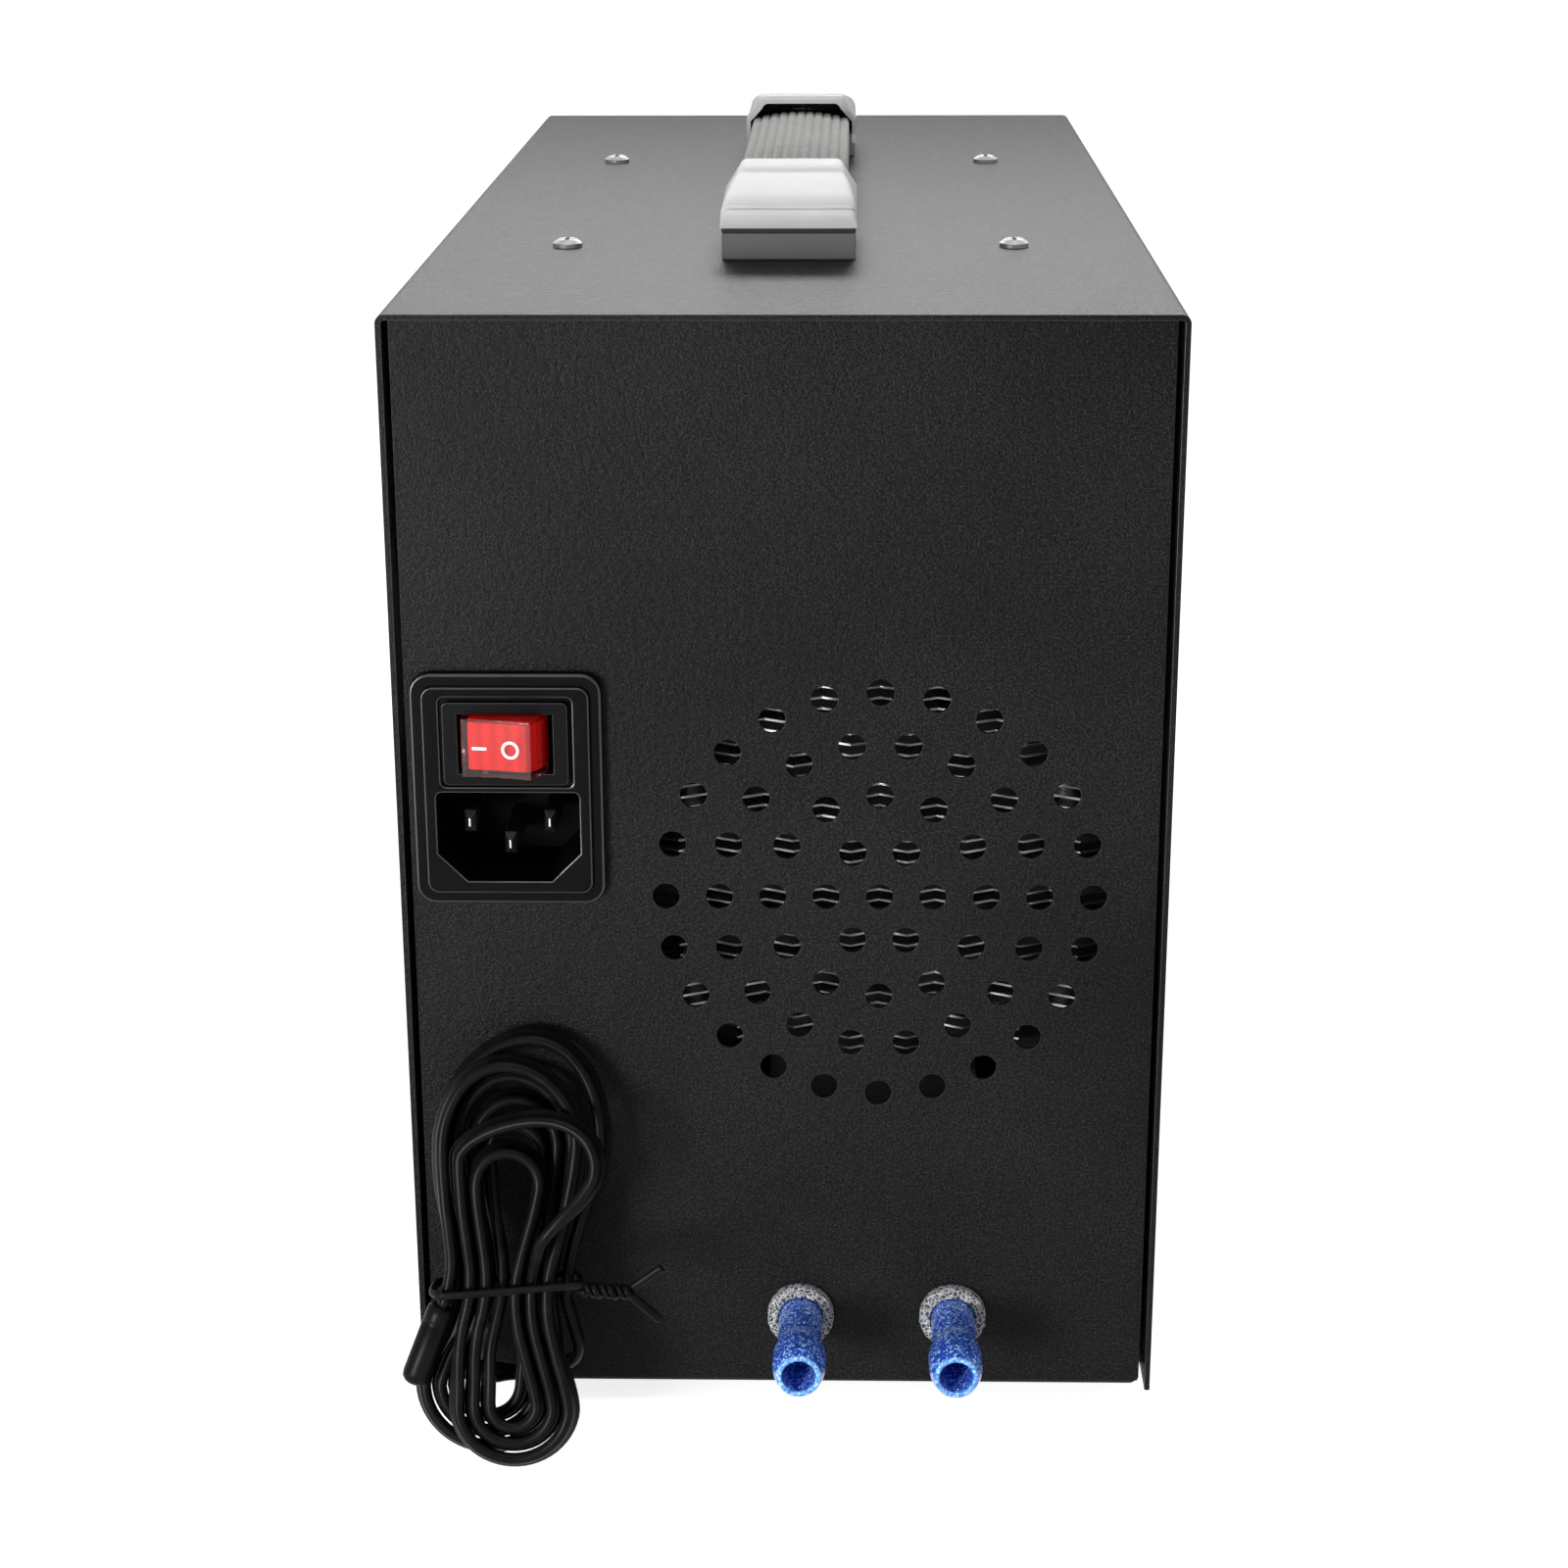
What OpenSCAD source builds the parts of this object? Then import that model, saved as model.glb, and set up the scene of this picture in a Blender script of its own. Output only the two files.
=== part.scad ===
// Aquarium chiller: a thermoelectric water cooler in a folded steel case.
// Millimetres. +Z is up, the rear panel faces -Y, and Z = 0 is the surface that the feet stand on.
// Places are measured in the case's own frame: x and y from its middle, z from the cover's lower edge.

/* [Case] */
// Width across the cover
case_w = 135; // [134:1:160]
// Depth of the cover from its rear edge to its front edge
case_d = 300; // [285:1:340]
// Height of the cover
case_h = 200; // [192:1:230]
// Thickness of the folded steel sheet
sheet_t = 1; // [0.8:0.1:1.2]
// Outside radius of each fold
bend_r = 1.6; // [1.4:0.1:3]
// How far the rear and front panels sit inside the cover's edges
panel_inset = 1.5; // [0.5:0.1:4]
// Gap between the edge of a panel and the cover
panel_gap = 1; // [0.5:0.1:1.5]

/* [Feet] */
// Diameter of a rubber foot
foot_d = 14; // [10:1:20]
// Height of a rubber foot
foot_h = 4; // [3.5:0.5:12]
// From the side of the case to a foot's middle
foot_inset_x = 15.5; // [14:0.5:30]
// From the end of the case to a foot's middle
foot_inset_y = 25; // [20:1:60]

/* [Vents] */
// Rings of holes round the middle hole of a vent
vent_rings = 4; // [2:1:4]
// From a fan's side to the middle of the vent's outermost holes
vent_edge = 8.4; // [7.6:0.1:14]
// Diameter of a vent hole
vent_hole_d = 4.8; // [3:0.1:5.5]
// Height of the rear vent and of both fans
vent_z = 96.9; // [94:0.1:104]
// Height of the front vent
intake_z = 62; // [56:1:66]

/* [Water ports] */
// Distance between the two water tubes
port_gap = 28; // [22:1:30]
// Height of the water tubes
port_z = 14.7; // [13:0.1:16]
// Outside diameter of a water tube
tube_d = 8; // [7:0.1:8.6]
// Bore of a water tube
tube_bore_d = 6; // [4:0.1:6.4]
// Outside diameter of the bead that holds the hose
bead_d = 9.6; // [9.2:0.1:11]
// How far a tube stands out behind the rear panel
tube_out = 23.5; // [18:0.5:40]
// Outside diameter of the foam collar in the panel's hole
collar_d = 12.3; // [11:0.1:14]

/* [Cooler] */
// Distance between the two heat sink towers
tower_gap = 110; // [100:1:115]
// Clear space between the inlet's body and the fans
fan_inlet_gap = 4.7; // [4:0.1:8]
// Depth of a fin along the air's path
fin_depth = 46; // [44:1:50]
// Thickness of a fin
fin_t = 0.4; // [0.3:0.1:0.8]
// Distance from one fin to the next
fin_pitch = 2; // [1.6:0.1:4]
// Diameter of a heat pipe
pipe_d = 6; // [5:0.5:6]
// Length and width of a thermoelectric module
tec_w = 40; // [30:1:42]
// Thickness of a thermoelectric module
tec_t = 3.8; // [3:0.1:5]
// Thickness of the water block
block_h = 12; // [10:0.5:13]
// Thickness of the heat sink's base
base_h = 12; // [10:0.5:14]

/* [Fans] */
// Depth of a fan frame
fan_t = 25; // [20:1:28]
// From a fan frame's side to the middle of its corner holes
fan_hole_edge = 4.75; // [4.5:0.05:6]
// From a fan frame's side to the circle that the blades sweep
fan_rim = 3.5; // [3.5:0.5:8]
// Number of blades
fan_blades = 7; // [5:1:9]
// Diameter of the rotor's hub
fan_hub_d = 34; // [28:1:38]

/* [Inlet and switch] */
// Width of the inlet's flange
inlet_w = 33.2; // [32:0.1:34]
// Height of the inlet's flange
inlet_h = 42; // [41:0.5:46]
// From the side of the case to the inlet's flange
inlet_edge = 3; // [2.7:0.1:3.2]
// Height of the inlet's middle
inlet_z = 117.2; // [105:0.1:125]
// Depth of the inlet's body behind the panel
inlet_depth = 24; // [23:0.5:26]
// Distance between the two mains pins
pin_gap = 14; // [12:0.5:15]
// Length of the rocker
rocker_w = 16.1; // [14:0.1:16.5]
// Height of the rocker
rocker_h = 10.4; // [9:0.1:10.6]
// Angle that the rocker turns through
rocker_travel = 20; // [14:1:20]

/* [Power supply] */
// Length of the power supply
psu_l = 159; // [140:1:165]
// Width of the power supply
psu_w = 97; // [95:1:110]
// Height of the power supply
psu_h = 30; // [26:1:32]
// Distance between its mounting screws across the case
psu_screw_gap_x = 84; // [78:1:88]
// Distance between its mounting screws along the case
psu_screw_gap_y = 128; // [120:1:132]
// From the case's middle to the middle of the power supply, towards the rear
psu_back = 11.35; // [5:0.05:14]
// Height of the spacers between the cover and the power supply
psu_spacer_h = 6; // [6:0.5:8]

/* [Front controls] */
// Width of the display's frame
display_w = 64; // [60:1:72]
// Height of the display's frame
display_h = 32; // [30:1:34]
// Height of the display's middle
display_z = 160; // [156:1:164]
// Height of the buttons
button_z = 128; // [124:1:132]
// Distance between the buttons
button_gap = 20; // [16:1:24]
// Diameter of a button
button_d = 9; // [7:0.5:10]
// How far a button stands out of the front panel
button_out = 3.5; // [2.5:0.1:5]
// How far a button travels
button_travel = 0.8; // [0.4:0.1:1]

/* [Handle] */
// Length of the handle from cap to cap
handle_l = 186; // [170:1:210]
// Length of a cap
cap_l = 36; // [34:1:42]
// Width of a cap
cap_w = 25; // [24.6:0.1:28]
// Height of the clear block under a cap
block_gap = 5; // [4.5:0.1:8]
// Width of the strap
strap_w = 22; // [18:0.5:22.4]
// Number of ribs along the strap
strap_ribs = 11; // [7:2:15]

/* [Probe lead] */
// Width of the flat twin cable
cable_w = 4.2; // [3.6:0.1:4.4]
// Thickness of the flat twin cable
cable_t = 2.1; // [1.6:0.1:2.2]
// Length of the temperature probe
probe_l = 15; // [12:0.5:16]
// Diameter of the temperature probe
probe_d = 5; // [4:0.1:5.2]
// How far the hank leans against the rear panel
hank_tilt = 15; // [12:0.5:15]

/* [Hidden] */
$fn = 48;

// One overrun for every cut, and the clearances that the pieces share
overrun = 1;
slip = 0.1;
free_gap = 0.3;
snug = 0.05;

// Faces of the case
rear_y = -case_d / 2 + panel_inset;
rear_in_y = rear_y + sheet_t;
front_y = case_d / 2 - panel_inset;
front_in_y = front_y - sheet_t;
cover_in_x = case_w / 2 - sheet_t;
cover_in_z = case_h - sheet_t;
panel_half_w = cover_in_x - panel_gap;
panel_top_z = cover_in_z - panel_gap;
case_y = (tube_out - button_out) / 2;
side_flange_h = 12;
side_flange_end = 10;
side_flange_y = case_d / 2 - side_flange_end;
corner_cut = 2.4;

// Screws: diameters of the threads and heads
m3_d = 3;
m3_head_d = 5.5;
m3_head_h = 1.5;
m4_d = 4;
m4_head_d = 7;
m4_head_h = 2;
m5_d = 5;
m5_head_d = 9;
m5_head_h = 1.8;
cross_share = 0.6;
cross_w = 0.8;
cross_depth_share = 0.6;
foot_x = case_w / 2 - foot_inset_x;
foot_y = case_d / 2 - foot_inset_y;
foot_taper = 1.5;
foot_recess = 2;
foot_screw_over = 1.5;
cover_screw_z = 6;
cover_screw_end = 40;
cover_screw_y = case_d / 2 - cover_screw_end;
cover_screw_l = 5;

// Cooler: the fans and towers fill the width between the inlet and the right wall
inlet_x = -case_w / 2 + inlet_edge + inlet_w / 2;
inlet_body_w = 28;
fan_wall_gap = 3.7;
fan_w = cover_in_x - fan_wall_gap - inlet_x - inlet_body_w / 2 - fan_inlet_gap;
fan_hole_gap = fan_w - 2 * fan_hole_edge;
fan_sweep_d = fan_w - 2 * fan_rim;
vent_pitch = (fan_w / 2 - vent_edge) / vent_rings;
fin_w = fan_w;
cool_x = cover_in_x - fan_wall_gap - fan_w / 2;
fin_rear_gap = 8;
tower_ys = [rear_in_y + fin_rear_gap + fin_depth / 2, rear_in_y + fin_rear_gap + fin_depth / 2 + tower_gap];
block_w = 44;
block_end = 23.5;
block_y0 = tower_ys[0] - block_end;
block_y1 = tower_ys[1] + block_end;
block_z0 = port_z - block_h / 2;
block_z1 = port_z + block_h / 2;
socket_depth = 8;
waterway_d = tube_bore_d;
waterway_end = 6;
foam_side = 6;
foam_end = 5;
foam_out = 2;
tec_z1 = block_z1 + tec_t;
tec_plate_t = 0.9;
tec_core_inset = 1;
base_l = 44;
base_z1 = tec_z1 + base_h;
pipe_z = tec_z1 + base_h / 2;
pipe_leg_in = 12;
pipe_leg_x = fin_w / 2 - pipe_leg_in;
pipe_bend_r = 10;
base_w = 2 * (pipe_leg_x - pipe_bend_r);
pipe_pitch = 8;
pipe_offsets = [-2 * pipe_pitch, -pipe_pitch, pipe_pitch, 2 * pipe_pitch];
fin_drop = 11;
fin_top_drop = 1;
fin_z0 = vent_z - fan_w / 2 + fin_drop;
fin_z1 = vent_z + fan_w / 2 - fin_top_drop;
fin_count = floor((fin_z1 - fin_z0) / fin_pitch) + 1;
fin_tooth = 2.5;
fin_teeth = 9;
pipe_over = 3;
pipe_top_z = fin_z1 + pipe_over;
clamp_out = 4;
base_post_gap = 4;
clamp_x = max(foam_side + block_w / 2, base_w / 2 + base_post_gap) + clamp_out;
bar_end = 7;
bar_l = 2 * (clamp_x + bar_end);
bar_w = 8;
bar_t = 3;
post_d = 7;
post_drop = 3.5;
post_top_z = base_z1 - post_drop;
post_bore = 12;
clamp_reach = 10;

// Fans
fan_corner_r = 5;
fan_hole_d = 4.3;
fan_tip_gap = 1.5;
fan_seat_gap = 0.2;
hub_mount_h = 3;
strut_w = 4;
boss_d = 10;
boss_h = 12;
shaft_d = 3;
shaft_clear = 0.04;
hub_wall = 1.5;
hub_gap = 1.2;
hub_h = fan_t - hub_mount_h - 2 * hub_gap;
blade_t = 1.6;
blade_chord = 24;
blade_pitch = 38;
blade_clear = 1;
clip_d = 1.6;
clip_gap = 0.1;
clip_hook = 6;

// Inlet and switch
inlet_corner_r = 3.5;
inlet_flange_t = 2;
inlet_rim_w = 29;
inlet_rim_h = 37.6;
inlet_rim_t = 0.8;
inlet_rim_r = 2;
inlet_body_h = 36;
inlet_body_clear = 0.2;
inlet_face_y = rear_y - inlet_flange_t - inlet_rim_t;
inlet_back_y = rear_in_y + inlet_depth;
recess_w = 24.9;
recess_h = 16.3;
recess_drop = 8.4;
recess_z = inlet_z - recess_drop;
recess_depth = 18;
recess_cut = 5.1;
recess_top_r = 1;
pin_w = 2;
pin_tall = 4;
pin_raise = 2;
pin_tip_in = 2;
pin_tab = 8;
switch_raise = 8.9;
switch_z = inlet_z + switch_raise;
switch_w = 21.6;
switch_h = 14.8;
switch_t = 0.8;
switch_r = 1;
switch_body_w = 19.4;
switch_body_h = 13.4;
switch_depth = 17;
switch_face_y = inlet_face_y - switch_t;
switch_back_y = switch_face_y + switch_depth;
window_gap = 0.2;
switch_wall = 2;
rocker_pivot = 4;
rocker_rise = 3.4;
rocker_low = 3;
rocker_mid_share = 0.9;
rocker_top_share = 0.76;
rocker_foot_share = 0.62;
rocker_dish = 0.5;
trunnion_d = 2.4;
trunnion_l = 1;
trunnion_clear = 0.05;
terminal_w = 0.8;
terminal_h = 4.8;
terminal_l = 7;
terminal_x = 5;
terminal_z = 3.2;

// Water tubes
tube_lip_h = 0.4;
tube_lip_share = 0.975;
tube_nose = 2.2;
nose_full_share = 1.8;
bead_rise_share = 0.75;
bead_land = 3.2;
bead_blend = 4.6;
bead_fall_share = 0.5;

// Power supply
psu_wall = 1.2;
psu_top_z = cover_in_z - psu_spacer_h;
psu_y0 = -psu_back - psu_l / 2;
psu_spacer_d = 8;
psu_screw_over = 1.6;
psu_slot_w = 3;
psu_slot_pitch = 8;
psu_slot_l = 56;
psu_slots = 14;
board_t = 1.6;
psu_boss_h = 5;
psu_boss_d = 6;
psu_edge = 3;
coil_w = 30;
coil_l = 32;
coil_h = 18;
cap_can_d = 16;
cap_can_h = 19;
cap_can_gap = 22;
sink_bar_t = 3;
sink_bar_l = 90;
sink_bar_h = 17;
terminal_block_w = 70;
terminal_block_l = 13;
terminal_block_h = 15;
terminal_ways = 7;
terminal_pitch = 9;
terminal_slot_w = 7;
terminal_slot_h = 8;

// Front controls
bezel_t = 2;
bezel_neck = 4;
bezel_wall = 4;
bezel_r = 3;
window_t = 2;
window_rebate = 2;
module_w = 50;
module_h = 19;
board_gap = 12;
board_w = 80;
board_h = 68;
board_raise = 6;
board_z = (display_z + button_z) / 2 + board_raise;
board_front_y = front_in_y - board_gap;
stud_in = 4;
stud_x = board_w / 2 - stud_in;
stud_z = board_h / 2 - stud_in;
stud_d = 5;
stud_pin_d = 3;
stud_pin_l = 4;
digit_count = 3;
digit_w = 8;
digit_h = 13;
digit_gap = 13;
segment_t = 1.4;
segment_depth = 0.6;
button_hole_clear = 0.2;
button_flange = 1.5;
button_flange_t = 1;
stem_d = 3.4;
tact_w = 6.4;
tact_h = 6.6;
tact_well_d = 4;
tact_well = 3.6;
tact_floor_gap = 0.5;

// Handle
cap_foot = 0.9;
cap_wall = 0.9;
cap_nose_h = 4.1;
cap_nose_run = 2;
cap_top_h = 8;
cap_lip_h = 9;
cap_lip_run = 5;
cap_drop = 2.2;
cap_shoulder_share = 0.45;
cap_crown_share = 0.82;
cap_waist_share = 0.35;
cap_waist_high_share = 0.72;
cap_z = block_gap + cap_foot;
liner_boss_h = 0.9;
liner_boss_d = 14;
block_l = 28;
block_in = 1;
liner_in = 0.5;
block_w_share = 0.98;
handle_screw_in = 21;
handle_screw_y = handle_l / 2 - handle_screw_in;
band_w = 17;
band_t = 1.2;
band_z = cap_z + liner_boss_h + snug;
band_end = 7;
band_slot = 12;
sleeve_z = cap_z;
sleeve_side_h = 3.2;
sleeve_crown = 1.6;
sleeve_in = 4;
rib_h = 0.7;
rib_foot_share = 0.46;
rib_top_share = 0.26;
nut_w = 8;
nut_h = 4;
nut_over = 0.7;

// Probe lead: the route's points are in the row's frame
grommet_side = 7.5;
grommet_x = -case_w / 2 + grommet_side;
grommet_z = 10;
grommet_d = 8;
grommet_flange_d = 11;
grommet_flange_t = 2.5;
grommet_back_t = 1.2;
hank_x = -51;
hank_y = -162.5;
hank_lean = 3;
hank_turn_rings = 24;
hank_start_v = 34;
hank_waist_v = 34;
hank_up_v = 59;
hank_low_v = 14.5;
hank_in_w = 4.5;
hank_step = 2.8;
hank_layer = 5;
hank_waist_in = 3.9;
hank_waist_reach = 14;
hank_top_share = 1.35;
hank_flare = 1.2;
hank_flare_turn = 0.09;
hank_mid_turn = 3 + 13 / 24;
hank_end_turn = 6 + 13.4 / 24;
hank_tail = 2.1;
hank_climb_turn = 2 / 24;
rings_up = 3;
rings_top = 8;
rings_down = 4;
rings_bottom = 7;
rings_last = 2;
flat_corner_share = 0.7;
lead_route = [
    [-60, -146, 14], [-59.6, -148.6, 14], [-58.4, -150.8, 14], [-56.2, -152.2, 14], [-53, -152.6, 14],
    [-49.8, -152.6, 14], [-46.6, -152.6, 14.1], [-43.4, -152.6, 14.6], [-40.3, -152.9, 15.8], [-37.9, -153.8, 17.7],
    [-36.9, -154.9, 20.2], [-37, -155.5, 22.8], [-37.9, -155, 26.6]
];
lead_twist_from = 3;
lead_twist_to = 7;
tie_d = 1.3;
tie_clear = 0.7;
tie_corner_r = 3;
tie_twist_turns = 3;
tie_twist_l = 8.5;
tie_twist_rings = 24;
tie_end_l = 5;
tie_spread = 5;
tie_rise = 1.2;
tie_strand_gap = 0.15;
upright_share = 0.8;
probe_tip = 1.2;
probe_nose_share = 0.4;
probe_lean = 18;

// Internal wires
wire_d = 1.8;
thin_wire_d = 1.2;
wire_bend = 5;
bend_share = 0.4;
wire_sides = 8;
wire_wall_gap = 6;
wire_loop = 6;
wire_rise_l = 20;
wire_under = 8;
wire_pitch = 3;
wire_front_gap = 10;
wire_earth_gap = 4;
wire_drop = 60;
wire_bar_gap = 2;
wire_tec_y = 11;
wire_side_x = bar_l / 2 + wire_bar_gap;
fan_wire_drop = 30;
fan_wire_out = 8;
fan_wire_step = 2;
board_wire_x = 25;
board_wire_z = 25;
board_wire_l = 8;
probe_wire_x = 33;
probe_wire_z = 20;
probe_wire_l = 8;
probe_wire_run = 30;

function fold_share(a, b, s) = a + (b - a) * s;
function smooth(s) = let (c = min(1, max(0, s))) c * c * (3 - 2 * c);
function unit(v) = v / norm(v);

// Puts a piece that is measured in the case's frame in its place
module in_case() {
    translate([0, case_y, foot_h]) children();
}

module box(size, at) {
    translate([at[0] - size[0] / 2, at[1] - size[1] / 2, at[2] - size[2] / 2]) cube(size);
}

// A rectangle whose two upper corners are round
module arched_rect(w, h, r) {
    translate([-w / 2, 0]) square([w, h - r]);
    translate([r - w / 2, 0]) square([w - 2 * r, h]);
    for (side = [-1, 1]) translate([side * (w / 2 - r), h - r]) circle(r);
}

module round_rect(w, h, r) {
    square([w - 2 * r, h], center = true);
    square([w, h - 2 * r], center = true);
    for (sx = [-1, 1]) for (sy = [-1, 1]) translate([sx * (w / 2 - r), sy * (h / 2 - r)]) circle(r);
}

// A plate whose outline is seen from the rear, from y = at[1] towards +Y
module rear_plate(t, at) {
    translate([at[0], at[1] + t, at[2]]) rotate([90, 0, 0]) linear_extrude(t) children();
}

// A bar along Y, from y0 towards +Y
module bar_y(d, l, at) {
    translate(at) rotate([-90, 0, 0]) cylinder(d = d, h = l);
}

// A pan head screw that points down: its seat is at the origin
module pan_screw(head_d, head_h, shank_d, shank_l) {
    difference() {
        union() {
            cylinder(d = head_d, h = head_h / 2);
            translate([0, 0, head_h / 2]) cylinder(d1 = head_d, d2 = head_d * cross_share, h = head_h / 2);
            translate([0, 0, -shank_l]) cylinder(d = shank_d, h = shank_l);
        }
        for (turn = [0, 90]) rotate([0, 0, turn])
            box([head_d * cross_share, cross_w, 2 * head_h * cross_depth_share], [0, 0, head_h]);
    }
}

// The round pattern of vent holes: one in the middle, then rings of 6, 12, 18 and 24
module vent_holes(at) {
    for (ring = [0 : vent_rings]) for (k = [0 : max(0, 6 * ring - 1)])
        let (turn = ring == 0 ? 0 : 60 * k / ring)
            bar_y(vent_hole_d, sheet_t + 2 * overrun,
                [at[0] + ring * vent_pitch * cos(turn), at[1] - overrun, at[2] + ring * vent_pitch * sin(turn)]);
}

function port_x(side) = cool_x + side * port_gap / 2;
psu_screw_places = [for (sx = [-1, 1]) for (sy = [-1, 1])
    [sx * psu_screw_gap_x / 2, sy * psu_screw_gap_y / 2 - psu_back]];
cover_screw_ys = [-cover_screw_y, 0, cover_screw_y];

module cover() {
    color([0.17, 0.17, 0.17]) in_case() difference() {
        rotate([90, 0, 0]) linear_extrude(case_d, center = true) difference() {
            arched_rect(case_w, case_h, bend_r);
            translate([0, -overrun]) arched_rect(2 * cover_in_x, cover_in_z + overrun, bend_r - sheet_t);
        }
        for (p = psu_screw_places) translate([p[0], p[1], cover_in_z - overrun])
            cylinder(d = m4_d + 2 * slip, h = sheet_t + 2 * overrun);
        for (side = [-1, 1]) translate([0, side * handle_screw_y, cover_in_z - overrun])
            cylinder(d = m5_d + 2 * slip, h = sheet_t + 2 * overrun);
        for (side = [-1, 1]) for (y = cover_screw_ys)
            translate([side * cover_in_x - sheet_t - overrun, y, cover_screw_z])
                rotate([0, 90, 0]) cylinder(d = m3_d + 2 * slip, h = 2 * (sheet_t + overrun));
    }
}

// Floor, rear panel and front panel folded from one sheet, with a flange along each side
module chassis() {
    color([0.13, 0.13, 0.13]) in_case() difference() {
        union() {
            rotate([90, 0, 90]) linear_extrude(2 * panel_half_w, center = true) difference() {
                translate([0, panel_top_z]) mirror([0, 1]) arched_rect(front_y - rear_y, panel_top_z, bend_r);
                translate([0, panel_top_z + overrun]) mirror([0, 1])
                    arched_rect(front_in_y - rear_in_y, panel_top_z + overrun - sheet_t, bend_r - sheet_t);
            }
            rotate([90, 0, 0]) linear_extrude(2 * side_flange_y, center = true) difference() {
                translate([-cover_in_x + slip, 0]) square([2 * (cover_in_x - slip), side_flange_h]);
                translate([-cover_in_x + slip + sheet_t, sheet_t])
                    square([2 * (cover_in_x - slip - sheet_t), side_flange_h]);
            }
            for (sx = [-1, 1]) for (sz = [-1, 1]) translate([sx * stud_x, 0, board_z + sz * stud_z]) {
                bar_y(stud_d, board_gap, [0, board_front_y, 0]);
                bar_y(stud_pin_d, stud_pin_l + overrun, [0, board_front_y - stud_pin_l, 0]);
            }
        }
        vent_holes([cool_x, rear_y, vent_z]);
        vent_holes([0, front_in_y, intake_z]);
        rear_plate(sheet_t + 2 * overrun, [inlet_x, rear_y - overrun, inlet_z])
            square([inlet_body_w + 2 * inlet_body_clear, inlet_body_h + 2 * inlet_body_clear], center = true);
        for (side = [-1, 1])
            bar_y(collar_d + 2 * slip, sheet_t + 2 * overrun, [port_x(side), rear_y - overrun, port_z]);
        bar_y(grommet_d + 2 * slip, sheet_t + 2 * overrun, [grommet_x, rear_y - overrun, grommet_z]);
        rear_plate(sheet_t + 2 * overrun, [0, front_in_y - overrun, display_z])
            square([display_w - 2 * bezel_wall + 2 * slip, display_h - 2 * bezel_wall + 2 * slip], center = true);
        for (k = [-1 : 1]) bar_y(button_d + 2 * button_hole_clear, sheet_t + 2 * overrun,
            [k * button_gap, front_in_y - overrun, button_z]);
        for (sx = [-1, 1]) for (sy = [-1, 1]) translate([sx * foot_x, sy * foot_y, -overrun])
            cylinder(d = m3_d + 2 * snug, h = sheet_t + 2 * overrun);
        for (side = [-1, 1]) for (y = cover_screw_ys)
            translate([side * (cover_in_x - sheet_t) - 2 * overrun, y, cover_screw_z])
                rotate([0, 90, 0]) cylinder(d = m3_d + 2 * snug, h = sheet_t + 4 * overrun);
        for (sx = [-1, 1]) translate([sx * panel_half_w, rear_y, 0]) rotate([0, 45, 0])
            box([corner_cut, 2 * (sheet_t + overrun), corner_cut], [0, 0, 0]);
    }
}

module rubber_feet() {
    color([0.07, 0.07, 0.07]) translate([0, case_y, 0]) for (sx = [-1, 1]) for (sy = [-1, 1])
        translate([sx * foot_x, sy * foot_y, 0]) difference() {
            cylinder(d1 = foot_d - foot_taper, d2 = foot_d, h = foot_h);
            translate([0, 0, -overrun]) cylinder(d = m3_head_d + 4 * slip, h = foot_recess + overrun);
            cylinder(d = m3_d + 2 * slip, h = foot_h + overrun);
        }
}

module foot_screws() {
    color([0.75, 0.75, 0.76]) translate([0, case_y, 0]) for (sx = [-1, 1]) for (sy = [-1, 1])
        translate([sx * foot_x, sy * foot_y, foot_recess]) rotate([180, 0, 0])
            pan_screw(m3_head_d, m3_head_h, m3_d, foot_h - foot_recess + sheet_t + foot_screw_over);
}

module cover_screws() {
    color([0.1, 0.1, 0.1]) in_case() for (side = [-1, 1]) for (y = cover_screw_ys)
        translate([side * case_w / 2, y, cover_screw_z]) rotate([0, side * 90, 0])
            pan_screw(m3_head_d, m3_head_h, m3_d, cover_screw_l);
}

// The outline of the mains recess, seen from the rear, with its two lower corners cut
module recess_outline() {
    difference() {
        round_rect(recess_w, recess_h, recess_top_r);
        for (side = [-1, 1]) translate([side * recess_w / 2, -recess_h / 2]) rotate(45)
            square(recess_cut * sqrt(2), center = true);
    }
}

module inlet_housing() {
    color([0.08, 0.08, 0.08]) in_case() difference() {
        union() {
            rear_plate(inlet_flange_t, [inlet_x, rear_y - inlet_flange_t, inlet_z])
                round_rect(inlet_w, inlet_h, inlet_corner_r);
            rear_plate(inlet_rim_t + overrun, [inlet_x, inlet_face_y, inlet_z])
                round_rect(inlet_rim_w, inlet_rim_h, inlet_rim_r);
            rear_plate(inlet_back_y - rear_y + overrun, [inlet_x, rear_y - overrun, inlet_z])
                square([inlet_body_w, inlet_body_h], center = true);
        }
        rear_plate(recess_depth + overrun, [inlet_x, inlet_face_y - overrun, recess_z]) recess_outline();
        rear_plate(inlet_back_y - inlet_face_y + 2 * overrun, [inlet_x, inlet_face_y - overrun, switch_z])
            square([switch_body_w + 2 * slip, switch_body_h + 2 * slip], center = true);
        for (p = pin_places) rear_plate(inlet_back_y - inlet_face_y, [p[0], inlet_face_y + overrun, p[1]])
            square([pin_w, pin_tall], center = true);
    }
}
pin_places = [
    [inlet_x - pin_gap / 2, recess_z + pin_raise],
    [inlet_x + pin_gap / 2, recess_z + pin_raise],
    [inlet_x, recess_z - pin_raise]
];

module inlet_pins() {
    color([0.8, 0.8, 0.8]) in_case() for (p = pin_places)
        rear_plate(inlet_back_y - inlet_face_y - pin_tip_in + pin_tab, [p[0], inlet_face_y + pin_tip_in, p[1]])
            square([pin_w, pin_tall], center = true);
}

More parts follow.
